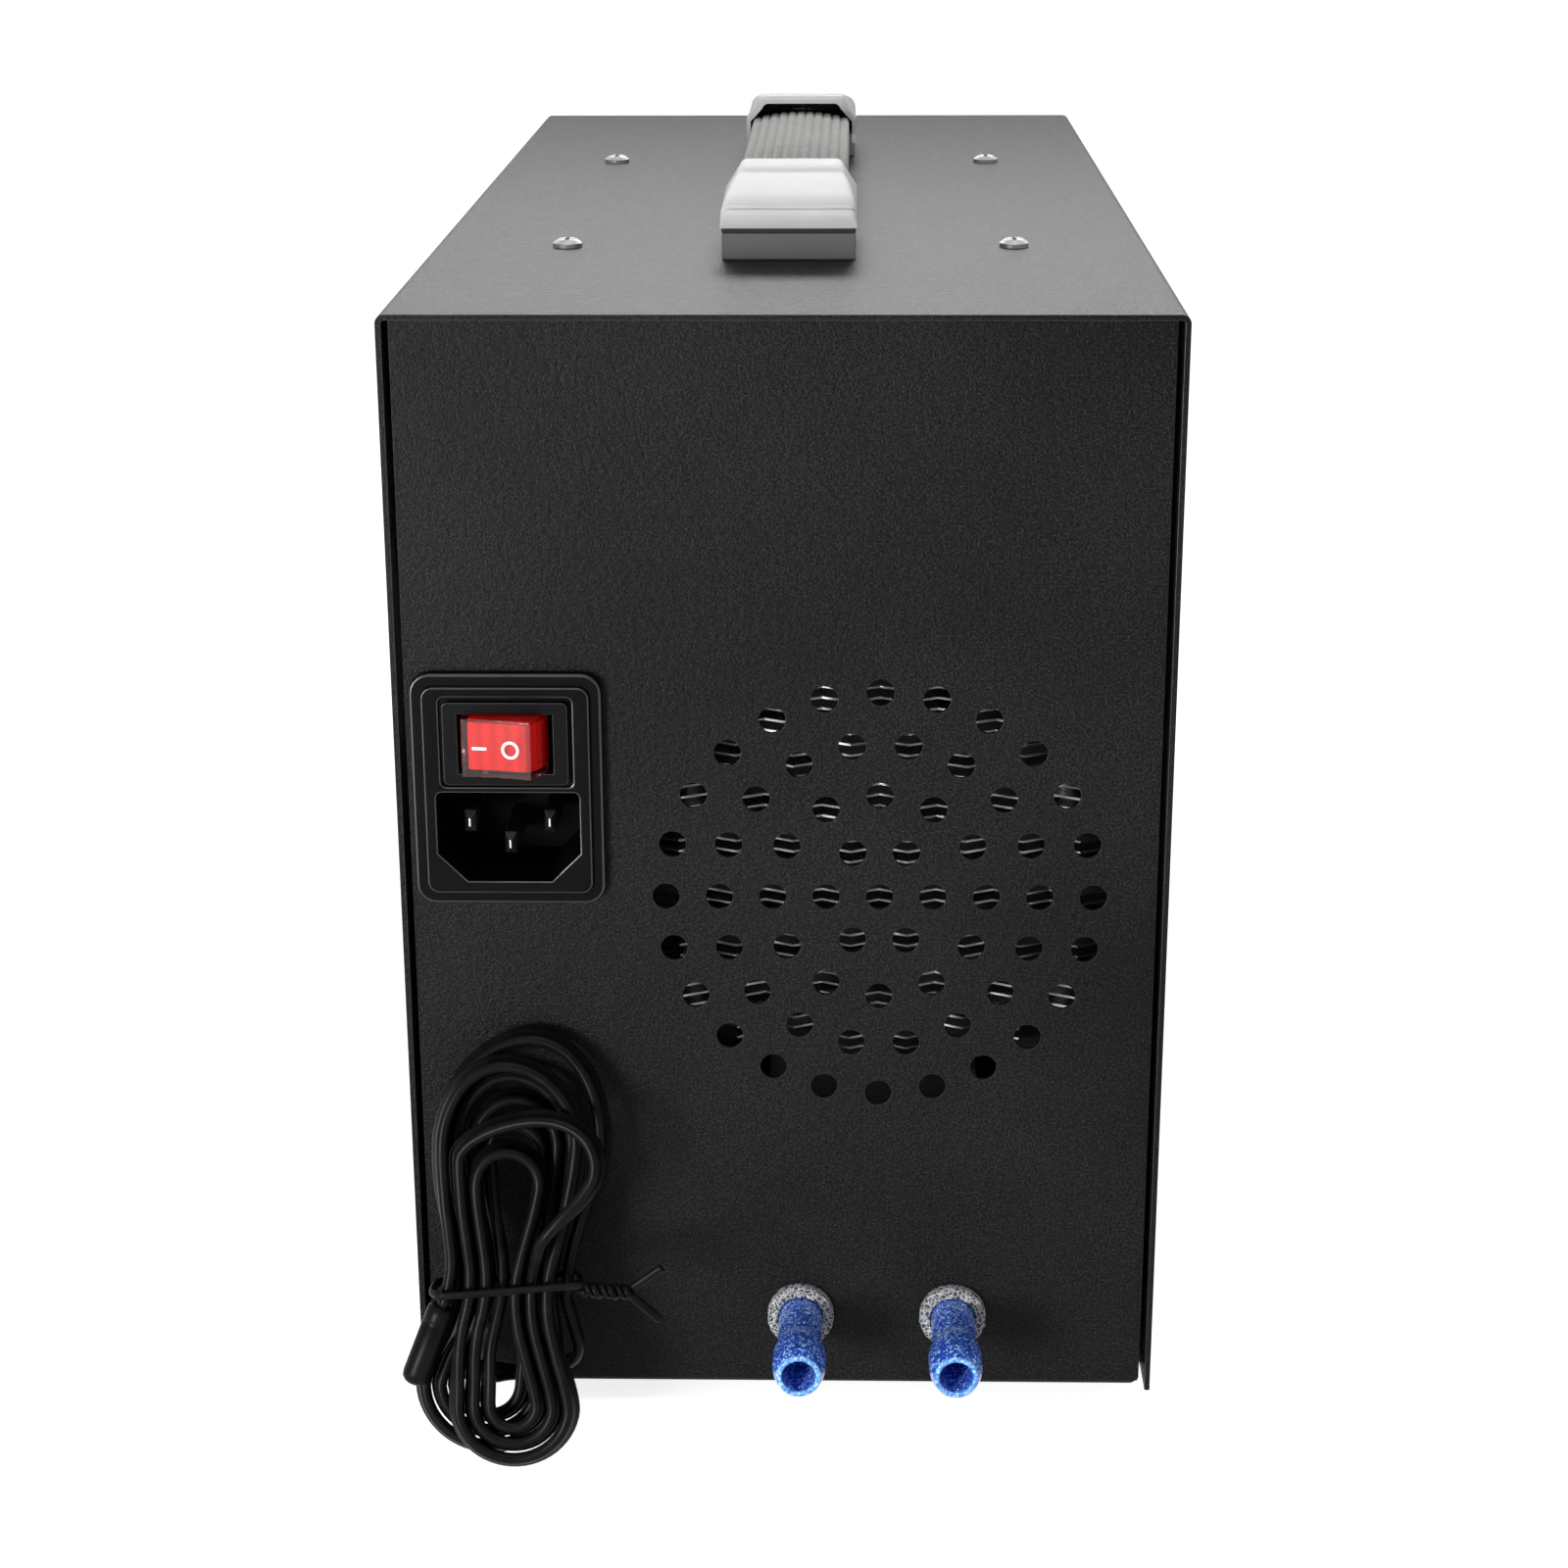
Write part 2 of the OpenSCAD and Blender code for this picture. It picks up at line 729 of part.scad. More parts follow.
module switch_body() {
    color([0.09, 0.09, 0.09]) in_case() difference() {
        union() {
            rear_plate(switch_t, [inlet_x, switch_face_y, switch_z]) round_rect(switch_w, switch_h, switch_r);
            rear_plate(switch_depth - switch_t, [inlet_x, switch_face_y + switch_t, switch_z])
                square([switch_body_w, switch_body_h], center = true);
        }
        rear_plate(switch_depth - switch_wall + overrun, [inlet_x, switch_face_y - overrun, switch_z])
            square([rocker_w + 2 * window_gap, rocker_h + 2 * window_gap], center = true);
        translate([inlet_x, switch_face_y + rocker_pivot, switch_z - rocker_h / 2 - window_gap - trunnion_l])
            cylinder(d = trunnion_d + 2 * trunnion_clear, h = rocker_h + 2 * (window_gap + trunnion_l));
        for (p = terminal_places)
            box([terminal_w, 2 * switch_wall + 2 * overrun, terminal_h], [p[0], switch_back_y, p[1]]);
    }
}
terminal_places = [for (sx = [-1, 1]) for (sz = [-1, 1])
    [inlet_x + sx * terminal_x, switch_z + sz * terminal_z]];

// The rocker at rest: its left end is pressed in, so it is switched on
module switch_rocker() {
    half = rocker_w / 2;
    rise = rocker_pivot + rocker_rise;
    color([0.8, 0.08, 0.08]) in_case() translate([inlet_x, switch_face_y + rocker_pivot, switch_z])
        rotate([0, 0, -rocker_travel / 2]) {
            translate([0, 0, -rocker_h / 2]) linear_extrude(rocker_h) polygon([
                [-half * rocker_foot_share, rocker_low], [-half * rocker_mid_share, 0],
                [-half * rocker_mid_share, -rocker_pivot / 2], [-half * rocker_top_share, -rise],
                [0, rocker_dish - rise], [half * rocker_top_share, -rise],
                [half * rocker_mid_share, -rocker_pivot / 2], [half * rocker_mid_share, 0],
                [half * rocker_foot_share, rocker_low]
            ]);
            translate([0, 0, -rocker_h / 2 - trunnion_l]) cylinder(d = trunnion_d, h = rocker_h + 2 * trunnion_l);
        }
}

module switch_terminals() {
    color([0.78, 0.72, 0.5]) in_case() for (p = terminal_places)
        box([terminal_w, terminal_l + switch_wall, terminal_h],
            [p[0], switch_back_y + (terminal_l - switch_wall) / 2, p[1]]);
}

// A water tube: its tip is behind the case, and its other end sits in the block's socket
module water_tube(side) {
    r = tube_d / 2;
    bead = bead_d / 2;
    length = tube_out + block_y0 - rear_y + socket_depth;
    full = tube_nose * nose_full_share;
    fall = full + bead_land;
    color([0.09, 0.2, 0.55]) in_case() translate([port_x(side), rear_y - tube_out, port_z]) rotate([-90, 0, 0])
        rotate_extrude() polygon([
            [tube_bore_d / 2, 0], [r * tube_lip_share, 0], [r, tube_lip_h],
            [fold_share(r, bead, bead_rise_share), tube_nose], [bead, full],
            [bead, fall], [fold_share(r, bead, bead_fall_share), fall + bead_blend / 2],
            [r, fall + bead_blend], [r, length], [tube_bore_d / 2, length]
        ]);
}
module left_water_tube() { water_tube(-1); }
module right_water_tube() { water_tube(1); }

module foam_collar(side) {
    color([0.55, 0.57, 0.58]) in_case() difference() {
        bar_y(collar_d, foam_out + block_y0 - foam_end - rear_y, [port_x(side), rear_y - foam_out, port_z]);
        bar_y(tube_d + 2 * slip, foam_out + block_y0 - rear_y + overrun,
            [port_x(side), rear_y - foam_out - overrun, port_z]);
    }
}
module left_foam_collar() { foam_collar(-1); }
module right_foam_collar() { foam_collar(1); }

module water_block() {
    way_l = block_y1 - block_y0 - waterway_end;
    color([0.72, 0.74, 0.76]) in_case() difference() {
        translate([cool_x - block_w / 2, block_y0, block_z0]) cube([block_w, block_y1 - block_y0, block_h]);
        for (side = [-1, 1]) {
            bar_y(tube_d + 2 * snug, socket_depth + overrun, [port_x(side), block_y0 - overrun, port_z]);
            bar_y(waterway_d, way_l, [port_x(side), block_y0, port_z]);
        }
        translate([port_x(-1), block_y0 + way_l - waterway_d / 2, port_z]) rotate([0, 90, 0])
            cylinder(d = waterway_d, h = port_gap);
    }
}

module block_insulation() {
    outer_w = block_w + 2 * foam_side;
    color([0.2, 0.2, 0.2]) in_case() difference() {
        translate([cool_x - outer_w / 2, block_y0 - foam_end, sheet_t])
            cube([outer_w, block_y1 - block_y0 + 2 * foam_end, block_z1 - sheet_t]);
        translate([cool_x - block_w / 2, block_y0, block_z0])
            cube([block_w, block_y1 - block_y0, block_h + overrun]);
        for (side = [-1, 1]) bar_y(tube_d + 2 * slip, foam_end + 2 * overrun,
            [port_x(side), block_y0 - foam_end - overrun, port_z]);
        for (sx = [-1, 1]) translate([sx * foot_x, -foot_y, 0])
            cylinder(d = m3_d + 2 * slip, h = sheet_t + foot_screw_over + free_gap);
    }
}

module tec(y) {
    color([0.93, 0.93, 0.9]) in_case() {
        for (z = [block_z1 + tec_plate_t / 2, tec_z1 - tec_plate_t / 2])
            box([tec_w, tec_w, tec_plate_t], [cool_x, y, z]);
        box([tec_w - 2 * tec_core_inset, tec_w - 2 * tec_core_inset, tec_t - tec_plate_t],
            [cool_x, y, (block_z1 + tec_z1) / 2]);
    }
}
module rear_tec() { tec(tower_ys[0]); }
module front_tec() { tec(tower_ys[1]); }

module heatsink_base(y) {
    color([0.7, 0.72, 0.74]) in_case() difference() {
        box([base_w, base_l, base_h], [cool_x, y, pipe_z]);
        for (offset = pipe_offsets) translate([cool_x - base_w / 2 - overrun, y + offset, pipe_z]) rotate([0, 90, 0])
            cylinder(d = pipe_d + 2 * snug, h = base_w + 2 * overrun);
    }
}
module rear_heatsink_base() { heatsink_base(tower_ys[0]); }
module front_heatsink_base() { heatsink_base(tower_ys[1]); }

// Four heat pipes, each bent into a U whose legs rise through the fins
module heat_pipes(y) {
    color([0.72, 0.42, 0.26]) in_case() for (offset = pipe_offsets) translate([cool_x, y + offset, pipe_z]) {
        translate([pipe_bend_r - pipe_leg_x, 0, 0]) rotate([0, 90, 0])
            cylinder(d = pipe_d, h = 2 * (pipe_leg_x - pipe_bend_r));
        for (side = [-1, 1]) {
            translate([side * (pipe_leg_x - pipe_bend_r), 0, pipe_bend_r]) rotate([90, 0, 0])
                rotate([0, 0, side > 0 ? -90 : 180]) rotate_extrude(angle = 90)
                    translate([pipe_bend_r, 0]) circle(d = pipe_d);
            translate([side * pipe_leg_x, 0, pipe_bend_r])
                cylinder(d = pipe_d, h = pipe_top_z - pipe_z - pipe_bend_r);
        }
    }
}
module rear_heat_pipes() { heat_pipes(tower_ys[0]); }
module front_heat_pipes() { heat_pipes(tower_ys[1]); }

// A stack of fins with a toothed rear edge
module fins(y) {
    teeth = 2 * fin_teeth;
    color([0.8, 0.81, 0.82]) in_case() translate([cool_x, y, fin_z0]) for (k = [0 : fin_count - 1])
        translate([0, 0, k * fin_pitch]) linear_extrude(fin_t) difference() {
            polygon(concat([[fin_w / 2, fin_depth / 2], [-fin_w / 2, fin_depth / 2]],
                [for (i = [0 : teeth]) [fin_w * (i / teeth - 1 / 2), (i % 2) * fin_tooth - fin_depth / 2]]));
            for (offset = pipe_offsets) for (side = [-1, 1])
                translate([side * pipe_leg_x, offset]) circle(d = pipe_d + 2 * snug);
        }
}
module rear_fins() { fins(tower_ys[0]); }
module front_fins() { fins(tower_ys[1]); }

module clamp_bars() {
    color([0.6, 0.6, 0.6]) in_case() for (y = tower_ys) difference() {
        box([bar_l, bar_w, bar_t], [cool_x, y, base_z1 + bar_t / 2]);
        for (side = [-1, 1]) translate([cool_x + side * clamp_x, y, base_z1 - overrun])
            cylinder(d = m4_d + 2 * slip, h = bar_t + 2 * overrun);
    }
}

module clamp_posts() {
    color([0.65, 0.65, 0.65]) in_case() for (y = tower_ys) for (side = [-1, 1])
        translate([cool_x + side * clamp_x, y, sheet_t]) difference() {
            cylinder(d = post_d, h = post_top_z - sheet_t);
            translate([0, 0, post_top_z - sheet_t - post_bore])
                cylinder(d = m4_d + 2 * snug, h = post_bore + overrun);
        }
}

module clamp_screws() {
    color([0.75, 0.75, 0.76]) in_case() for (y = tower_ys) for (side = [-1, 1])
        translate([cool_x + side * clamp_x, y, base_z1 + bar_t])
            pan_screw(m4_head_d, m4_head_h, m4_d, base_z1 + bar_t - post_top_z + clamp_reach);
}

// A fan's own frame: its axis is along Y, and y = 0 is the side that faces the fins
function fan_y(k) = tower_ys[k] + fin_depth / 2 + fan_seat_gap;
module fan_frame(k) {
    color([0.1, 0.1, 0.1]) in_case() translate([cool_x, fan_y(k), vent_z]) difference() {
        union() {
            difference() {
                rear_plate(fan_t, [0, 0, 0]) round_rect(fan_w, fan_w, fan_corner_r);
                bar_y(fan_sweep_d + 2 * fan_tip_gap, fan_t + 2 * overrun, [0, -overrun, 0]);
            }
            bar_y(fan_hub_d, hub_mount_h, [0, 0, 0]);
            for (turn = [45, 135]) rotate([0, turn, 0])
                box([fan_sweep_d + 3 * fan_tip_gap, hub_mount_h, strut_w], [0, hub_mount_h / 2, 0]);
            bar_y(boss_d, hub_mount_h + boss_h, [0, 0, 0]);
        }
        for (sx = [-1, 1]) for (sz = [-1, 1])
            bar_y(fan_hole_d, fan_t + 2 * overrun, [sx * fan_hole_gap / 2, -overrun, sz * fan_hole_gap / 2]);
        bar_y(shaft_d + 2 * shaft_clear, boss_h + overrun, [0, hub_mount_h, 0]);
    }
}
module rear_fan_frame() { fan_frame(0); }
module front_fan_frame() { fan_frame(1); }

module fan_rotor(k) {
    hub_y = hub_mount_h + hub_gap;
    color([0.12, 0.12, 0.12]) in_case() translate([cool_x, fan_y(k), vent_z]) {
        difference() {
            bar_y(fan_hub_d, hub_h, [0, hub_y, 0]);
            bar_y(fan_hub_d - 2 * hub_wall, hub_h - hub_wall + overrun, [0, hub_y - overrun, 0]);
        }
        bar_y(shaft_d, hub_h + hub_gap - free_gap, [0, hub_mount_h + free_gap, 0]);
        intersection() {
            difference() {
                bar_y(fan_sweep_d, hub_h, [0, hub_y, 0]);
                bar_y(fan_hub_d - hub_wall, hub_h + 2 * overrun, [0, hub_y - overrun, 0]);
            }
            for (b = [0 : fan_blades - 1]) rotate([0, 360 * b / fan_blades, 0])
                translate([fan_sweep_d / 4 + blade_clear, hub_y + hub_h / 2, 0]) rotate([blade_pitch, 0, 0])
                    box([fan_sweep_d / 2, blade_t, blade_chord], [0, 0, 0]);
        }
    }
}
module rear_fan_rotor() { fan_rotor(0); }
module front_fan_rotor() { fan_rotor(1); }

// A round wire along straight runs, with a ball at each bend
module wire(d, route) {
    for (i = [0 : len(route) - 2]) {
        run = route[i + 1] - route[i];
        translate(route[i]) rotate([0, acos(run[2] / norm(run)), atan2(run[1], run[0])])
            cylinder(d = d, h = norm(run));
    }
    for (i = [1 : len(route) - 2]) translate(route[i]) sphere(d = d);
}

module fan_clips() {
    side_x = fan_w / 2 + clip_gap + clip_d / 2;
    reach_z = fan_hole_gap / 2;
    color([0.75, 0.75, 0.76]) in_case() for (k = [0, 1]) for (side = [-1, 1])
        let (
            front = fan_y(k) + fan_t + clip_gap + clip_d / 2,
            back = tower_ys[k],
            out = cool_x + side * side_x,
            hole = cool_x + side * fan_hole_gap / 2
        ) wire(clip_d, [
            [hole, front - clip_hook, vent_z - reach_z], [hole, front, vent_z - reach_z],
            [out, front, vent_z - reach_z], [out, back, vent_z - reach_z],
            [out, back, vent_z + reach_z], [out, front, vent_z + reach_z],
            [hole, front, vent_z + reach_z], [hole, front - clip_hook, vent_z + reach_z]
        ]);
}

// The power supply hangs under the cover, open side down
module psu_case() {
    color([0.72, 0.73, 0.74]) in_case() difference() {
        union() {
            difference() {
                translate([-psu_w / 2, psu_y0, psu_top_z - psu_h]) cube([psu_w, psu_l, psu_h]);
                translate([psu_wall - psu_w / 2, psu_y0 - overrun, psu_top_z - psu_h - overrun])
                    cube([psu_w - 2 * psu_wall, psu_l + 2 * overrun, psu_h - psu_wall + overrun]);
            }
            for (p = psu_board_places) translate([p[0], p[1], psu_top_z - psu_wall - psu_boss_h])
                cylinder(d = psu_boss_d, h = psu_boss_h);
        }
        for (p = psu_screw_places) translate([p[0], p[1], psu_top_z - psu_wall - overrun])
            cylinder(d = m4_d + 2 * snug, h = psu_wall + 2 * overrun);
    }
}
psu_board_places = [for (sx = [-1, 1]) for (sy = [-1, 1])
    [sx * (psu_w / 2 - 3 * psu_edge), -psu_back + sy * (psu_l / 2 - 9 * psu_edge)]];

module psu_cover() {
    inner_w = psu_w - 2 * psu_wall - 2 * slip;
    floor_z = psu_top_z - psu_h;
    color([0.75, 0.76, 0.77]) in_case() difference() {
        union() {
            translate([-inner_w / 2, psu_y0, floor_z]) cube([inner_w, psu_l, psu_wall]);
            translate([-inner_w / 2, psu_y0, floor_z]) cube([inner_w, psu_wall, psu_h - psu_wall - slip]);
        }
        for (k = [0 : psu_slots - 1])
            box([psu_slot_l, psu_slot_w, 2 * psu_wall + 2 * overrun],
                [0, psu_y0 + (psu_l - (psu_slots - 1) * psu_slot_pitch) / 2 + k * psu_slot_pitch, floor_z]);
    }
}

// The power board with its transformer, capacitors and cooling bars, all hanging down
module psu_board() {
    face_z = psu_top_z - psu_wall - psu_boss_h - board_t;
    color([0.35, 0.3, 0.15]) in_case() {
        translate([psu_edge - psu_w / 2, psu_y0 + psu_edge, face_z])
            cube([psu_w - 2 * psu_edge, psu_l - 2 * psu_edge, board_t]);
        translate([-coil_w / 2, -psu_back - coil_l / 2, face_z - coil_h]) cube([coil_w, coil_l, coil_h]);
        for (k = [-1, 1]) translate([k * cap_can_gap / 2, psu_y0 + psu_l / 5, face_z - cap_can_h])
            cylinder(d = cap_can_d, h = cap_can_h);
        for (side = [-1, 1]) translate([side * (psu_w / 2 - 4 * psu_edge) - sink_bar_t / 2,
            -psu_back - sink_bar_l / 2, face_z - sink_bar_h]) cube([sink_bar_t, sink_bar_l, sink_bar_h]);
    }
}

module psu_terminals() {
    top_z = psu_top_z - psu_wall - psu_boss_h - board_t;
    end_y = psu_y0 + psu_l;
    color([0.12, 0.12, 0.13]) in_case() difference() {
        translate([-terminal_block_w / 2, end_y - terminal_block_l, top_z - terminal_block_h])
            cube([terminal_block_w, terminal_block_l, terminal_block_h]);
        for (k = [0 : terminal_ways - 1]) box([terminal_slot_w, 2 * terminal_slot_w, terminal_slot_h],
            [(k - (terminal_ways - 1) / 2) * terminal_pitch, end_y, top_z - terminal_block_h / 2]);
    }
}

module psu_spacers() {
    color([0.8, 0.78, 0.6]) in_case() for (p = psu_screw_places) translate([p[0], p[1], psu_top_z]) difference() {
        cylinder(d = psu_spacer_d, h = psu_spacer_h);
        translate([0, 0, -overrun]) cylinder(d = m4_d + 2 * slip, h = psu_spacer_h + 2 * overrun);
    }
}

module psu_screws() {
    color([0.8, 0.8, 0.8]) in_case() for (p = psu_screw_places) translate([p[0], p[1], case_h])
        pan_screw(m3_head_d, m3_head_h, m4_d, sheet_t + psu_spacer_h + psu_wall + psu_screw_over);
}

// Turns a piece of the rear end of the handle to the front end
module handle_end(side) {
    in_case() mirror([0, side > 0 ? 1 : 0, 0]) translate([0, -handle_l / 2, case_h]) children();
}

module handle_block(side) {
    color([0.85, 0.87, 0.88, 0.5]) handle_end(side) difference() {
        translate([-cap_w * block_w_share / 2, block_in, 0]) cube([cap_w * block_w_share, block_l, block_gap]);
        translate([0, handle_screw_in, -overrun]) cylinder(d = m5_d + 2 * slip, h = block_gap + 2 * overrun);
    }
}
module rear_handle_block() { handle_block(-1); }
module front_handle_block() { handle_block(1); }

module handle_liners() {
    color([0.07, 0.07, 0.07]) for (side = [-1, 1]) handle_end(side) difference() {
        union() {
            translate([-cap_w * block_w_share / 2, liner_in, block_gap])
                cube([cap_w * block_w_share, block_in + block_l - liner_in, cap_foot]);
            translate([0, handle_screw_in, block_gap]) cylinder(d = liner_boss_d, h = cap_foot + liner_boss_h);
        }
        translate([0, handle_screw_in, block_gap - overrun])
            cylinder(d = m5_d + 2 * slip, h = cap_foot + liner_boss_h + 2 * overrun);
    }
}

// A cap seen from its side: a steep nose, a long rise and a raised lip at the mouth
cap_outline = [
    [0, 0], [0, cap_nose_h / 2], [cap_nose_run, cap_nose_h], [cap_l - cap_lip_run, cap_top_h],
    [cap_l - cap_lip_run / 2, cap_lip_h], [cap_l, cap_lip_h], [cap_l, -cap_drop],
    [cap_l - cap_lip_run, -cap_drop], [cap_l - cap_lip_run, 0]
];
module cap_section(w) {
    half = w / 2;
    waist = half * fold_share(1, cap_crown_share, cap_waist_share);
    crown = half * cap_crown_share;
    polygon([
        [-half, -cap_drop - overrun], [-half, cap_nose_h * cap_shoulder_share],
        [-waist, cap_top_h * cap_waist_high_share], [-crown, cap_lip_h + overrun],
        [crown, cap_lip_h + overrun], [waist, cap_top_h * cap_waist_high_share],
        [half, cap_nose_h * cap_shoulder_share], [half, -cap_drop - overrun]
    ]);
}
module handle_cap(side) {
    color([0.85, 0.86, 0.87]) handle_end(side) translate([0, 0, cap_z]) difference() {
        intersection() {
            rotate([90, 0, 90]) linear_extrude(cap_w, center = true) polygon(cap_outline);
            translate([0, cap_l, 0]) rotate([90, 0, 0]) linear_extrude(cap_l) cap_section(cap_w);
        }
        intersection() {
            rotate([90, 0, 90]) linear_extrude(cap_w, center = true) polygon([
                [cap_wall, -cap_drop - overrun], [cap_wall, cap_nose_h / 2],
                [cap_nose_run + cap_wall, cap_nose_h - cap_wall],
                [cap_l - cap_lip_run, cap_top_h - cap_wall], [cap_l + overrun, cap_top_h - cap_wall / 2],
                [cap_l + overrun, -cap_drop - overrun]
            ]);
            translate([0, cap_l + overrun, 0]) rotate([90, 0, 0])
                linear_extrude(cap_l + 2 * overrun) cap_section(cap_w - 2 * cap_wall);
        }
    }
}
module rear_handle_cap() { handle_cap(-1); }
module front_handle_cap() { handle_cap(1); }

// The spring steel band inside the strap, slotted at both ends so that it can bow up
module strap_band() {
    color([0.6, 0.6, 0.62]) in_case() translate([0, 0, case_h + band_z]) difference() {
        box([band_w, handle_l - 2 * band_end, band_t], [0, 0, band_t / 2]);
        for (side = [-1, 1]) translate([0, side * handle_screw_y, -overrun]) {
            box([m5_d + 4 * slip, band_slot - m5_d, 4 * band_t], [0, 0, band_t]);
            for (end = [-1, 1]) translate([0, end * (band_slot - m5_d) / 2, 0])
                cylinder(d = m5_d + 4 * slip, h = band_t + 2 * overrun);
        }
    }
}

module strap_sleeve() {
    sleeve_l = handle_l - 2 * cap_l + 2 * sleeve_in;
    pitch = strap_w / strap_ribs;
    crown = function (x) sleeve_side_h + sleeve_crown * (1 - pow(2 * x / strap_w, 2));
    ribs = [for (i = [0 : strap_ribs - 1]) let (x = (i + 1 / 2) * pitch - strap_w / 2) each [
        [x - pitch * rib_foot_share, crown(x) - rib_h], [x - pitch * rib_top_share, crown(x)],
        [x + pitch * rib_top_share, crown(x)], [x + pitch * rib_foot_share, crown(x) - rib_h]
    ]];
    color([0.6, 0.61, 0.6]) in_case() translate([0, sleeve_l / 2, case_h + sleeve_z]) rotate([90, 0, 0])
        linear_extrude(sleeve_l) difference() {
            polygon(concat([[-strap_w / 2, 0]], ribs, [[strap_w / 2, 0]]));
            translate([-band_w / 2 - slip, band_z - sleeve_z - slip])
                square([band_w + 2 * slip, band_t + 2 * slip]);
        }
}

module handle_screws() {
    seat_z = case_h + band_z + band_t;
    color([0.75, 0.75, 0.76]) in_case() for (side = [-1, 1]) translate([0, side * handle_screw_y, seat_z])
        pan_screw(m5_head_d, m5_head_h, m5_d, seat_z - cover_in_z + nut_h + nut_over);
}

module handle_nuts() {
    color([0.75, 0.75, 0.76]) in_case() for (side = [-1, 1])
        translate([0, side * handle_screw_y, cover_in_z - nut_h]) difference() {
            cylinder(d = nut_w / cos(30), h = nut_h, $fn = 6);
            translate([0, 0, -overrun]) cylinder(d = m5_d + 2 * snug, h = nut_h + 2 * overrun);
        }
}

module display_bezel() {
    neck_w = display_w - 2 * bezel_wall;
    neck_h = display_h - 2 * bezel_wall;
    color([0.1, 0.1, 0.11]) in_case() difference() {
        union() {
            rear_plate(bezel_t, [0, front_y, display_z]) round_rect(display_w, display_h, bezel_r);
            rear_plate(bezel_neck + overrun, [0, front_y - bezel_neck, display_z])
                square([neck_w, neck_h], center = true);
        }
        rear_plate(bezel_t + bezel_neck + 2 * overrun, [0, front_y - bezel_neck - overrun, display_z])
            square([neck_w - 4 * window_rebate, neck_h - 3 * window_rebate], center = true);
        rear_plate(bezel_neck + overrun, [0, front_y - bezel_neck - overrun, display_z])
            square([neck_w - 2 * window_rebate, neck_h - window_rebate], center = true);
    }
}

module display_window() {
    pane_w = display_w - 2 * (bezel_wall + window_rebate + slip);
    pane_h = display_h - 2 * (bezel_wall + slip) - window_rebate;
    color([0.15, 0.05, 0.05, 0.6]) in_case() rear_plate(window_t, [0, front_y - window_t, display_z])
        square([pane_w, pane_h], center = true);
}

// One digit of the numeric display: seven raised segments
module digit() {
    for (z = [-1 : 1]) box([digit_w - segment_t, segment_depth, segment_t], [0, 0, z * (digit_h - segment_t) / 2]);
    for (sx = [-1, 1]) for (sz = [-1, 1])
        box([segment_t, segment_depth, digit_h / 2 - 2 * segment_t],
            [sx * (digit_w - segment_t) / 2, 0, sz * (digit_h - segment_t) / 4]);
}

module display_module() {
    face_y = front_y - bezel_neck - free_gap;
    color([0.18, 0.18, 0.2]) in_case() {
        rear_plate(face_y - board_front_y, [0, board_front_y, display_z])
            square([module_w, module_h], center = true);
        for (k = [0 : digit_count - 1]) translate([
            (k - (digit_count - 1) / 2) * digit_gap, face_y + segment_depth / 2 - snug, display_z
        ]) digit();
    }
}

// The control board and the housings of its three push switches
module control_board() {
    color([0.06, 0.25, 0.12]) in_case() difference() {
        union() {
            rear_plate(board_t, [0, board_front_y - board_t, board_z])
                square([board_w, board_h], center = true);
            for (k = [-1 : 1]) rear_plate(tact_h, [k * button_gap, board_front_y, button_z])
                square(tact_w, center = true);
        }
        for (sx = [-1, 1]) for (sz = [-1, 1]) bar_y(stud_pin_d + 2 * slip, board_t + 2 * overrun,
            [sx * stud_x, board_front_y - board_t - overrun, board_z + sz * stud_z]);
        for (k = [-1 : 1]) bar_y(tact_well_d, tact_well + overrun,
            [k * button_gap, board_front_y + tact_h - tact_well, button_z]);
    }
}

module button(k) {
    flange_y = front_in_y - free_gap - button_flange_t;
    stem_y = board_front_y + tact_h - tact_well + button_travel + tact_floor_gap;
    color([0.8, 0.8, 0.82]) in_case() {
        bar_y(button_d, front_y + button_out - flange_y, [k * button_gap, flange_y, button_z]);
        bar_y(button_d + 2 * button_flange, button_flange_t, [k * button_gap, flange_y, button_z]);
        bar_y(stem_d, flange_y - stem_y + overrun / 2, [k * button_gap, stem_y, button_z]);
    }
}
module left_button() { button(-1); }
module middle_button() { button(0); }
module right_button() { button(1); }

// A soft wire: a swept tube whose bends are eased
function eased(route, reach) = let (last = len(route) - 1) [
    for (i = [0 : last]) each i == 0 || i == last ? [route[i]]
        : let (
            back = route[i - 1] - route[i],
            on = route[i + 1] - route[i],
            near = min(reach, norm(back) * bend_share, norm(on) * bend_share)
        ) [route[i] + near * unit(back), route[i] + near / 4 * (unit(back) + unit(on)), route[i] + near * unit(on)]
];
// A wide direction that isn't along the tube, and one carried along a route without twisting
function wide_of(along) = abs(along[2]) > upright_share ? [1, 0, 0] : [0, 0, 1];
function carried(alongs, first) =
    [for (i = 0, w = first; i < len(alongs); i = i + 1, w = i < len(alongs) ? squared(w, alongs[i]) : w)
        squared(w, alongs[i])];
function squared(w, along) = unit(w - (w * along) * along);
module soft_wire(d, route) {
    way = eased(route, wire_bend);
    last = len(way) - 1;
    alongs = directions(way, unit(way[1] - way[0]), unit(way[last] - way[last - 1]));
    outline = [for (k = [0 : wire_sides - 1]) d / 2 * [cos(360 * k / wire_sides), sin(360 * k / wire_sides)]];
    tube_along(way, alongs, carried(alongs, wide_of(alongs[0])), outline);
}

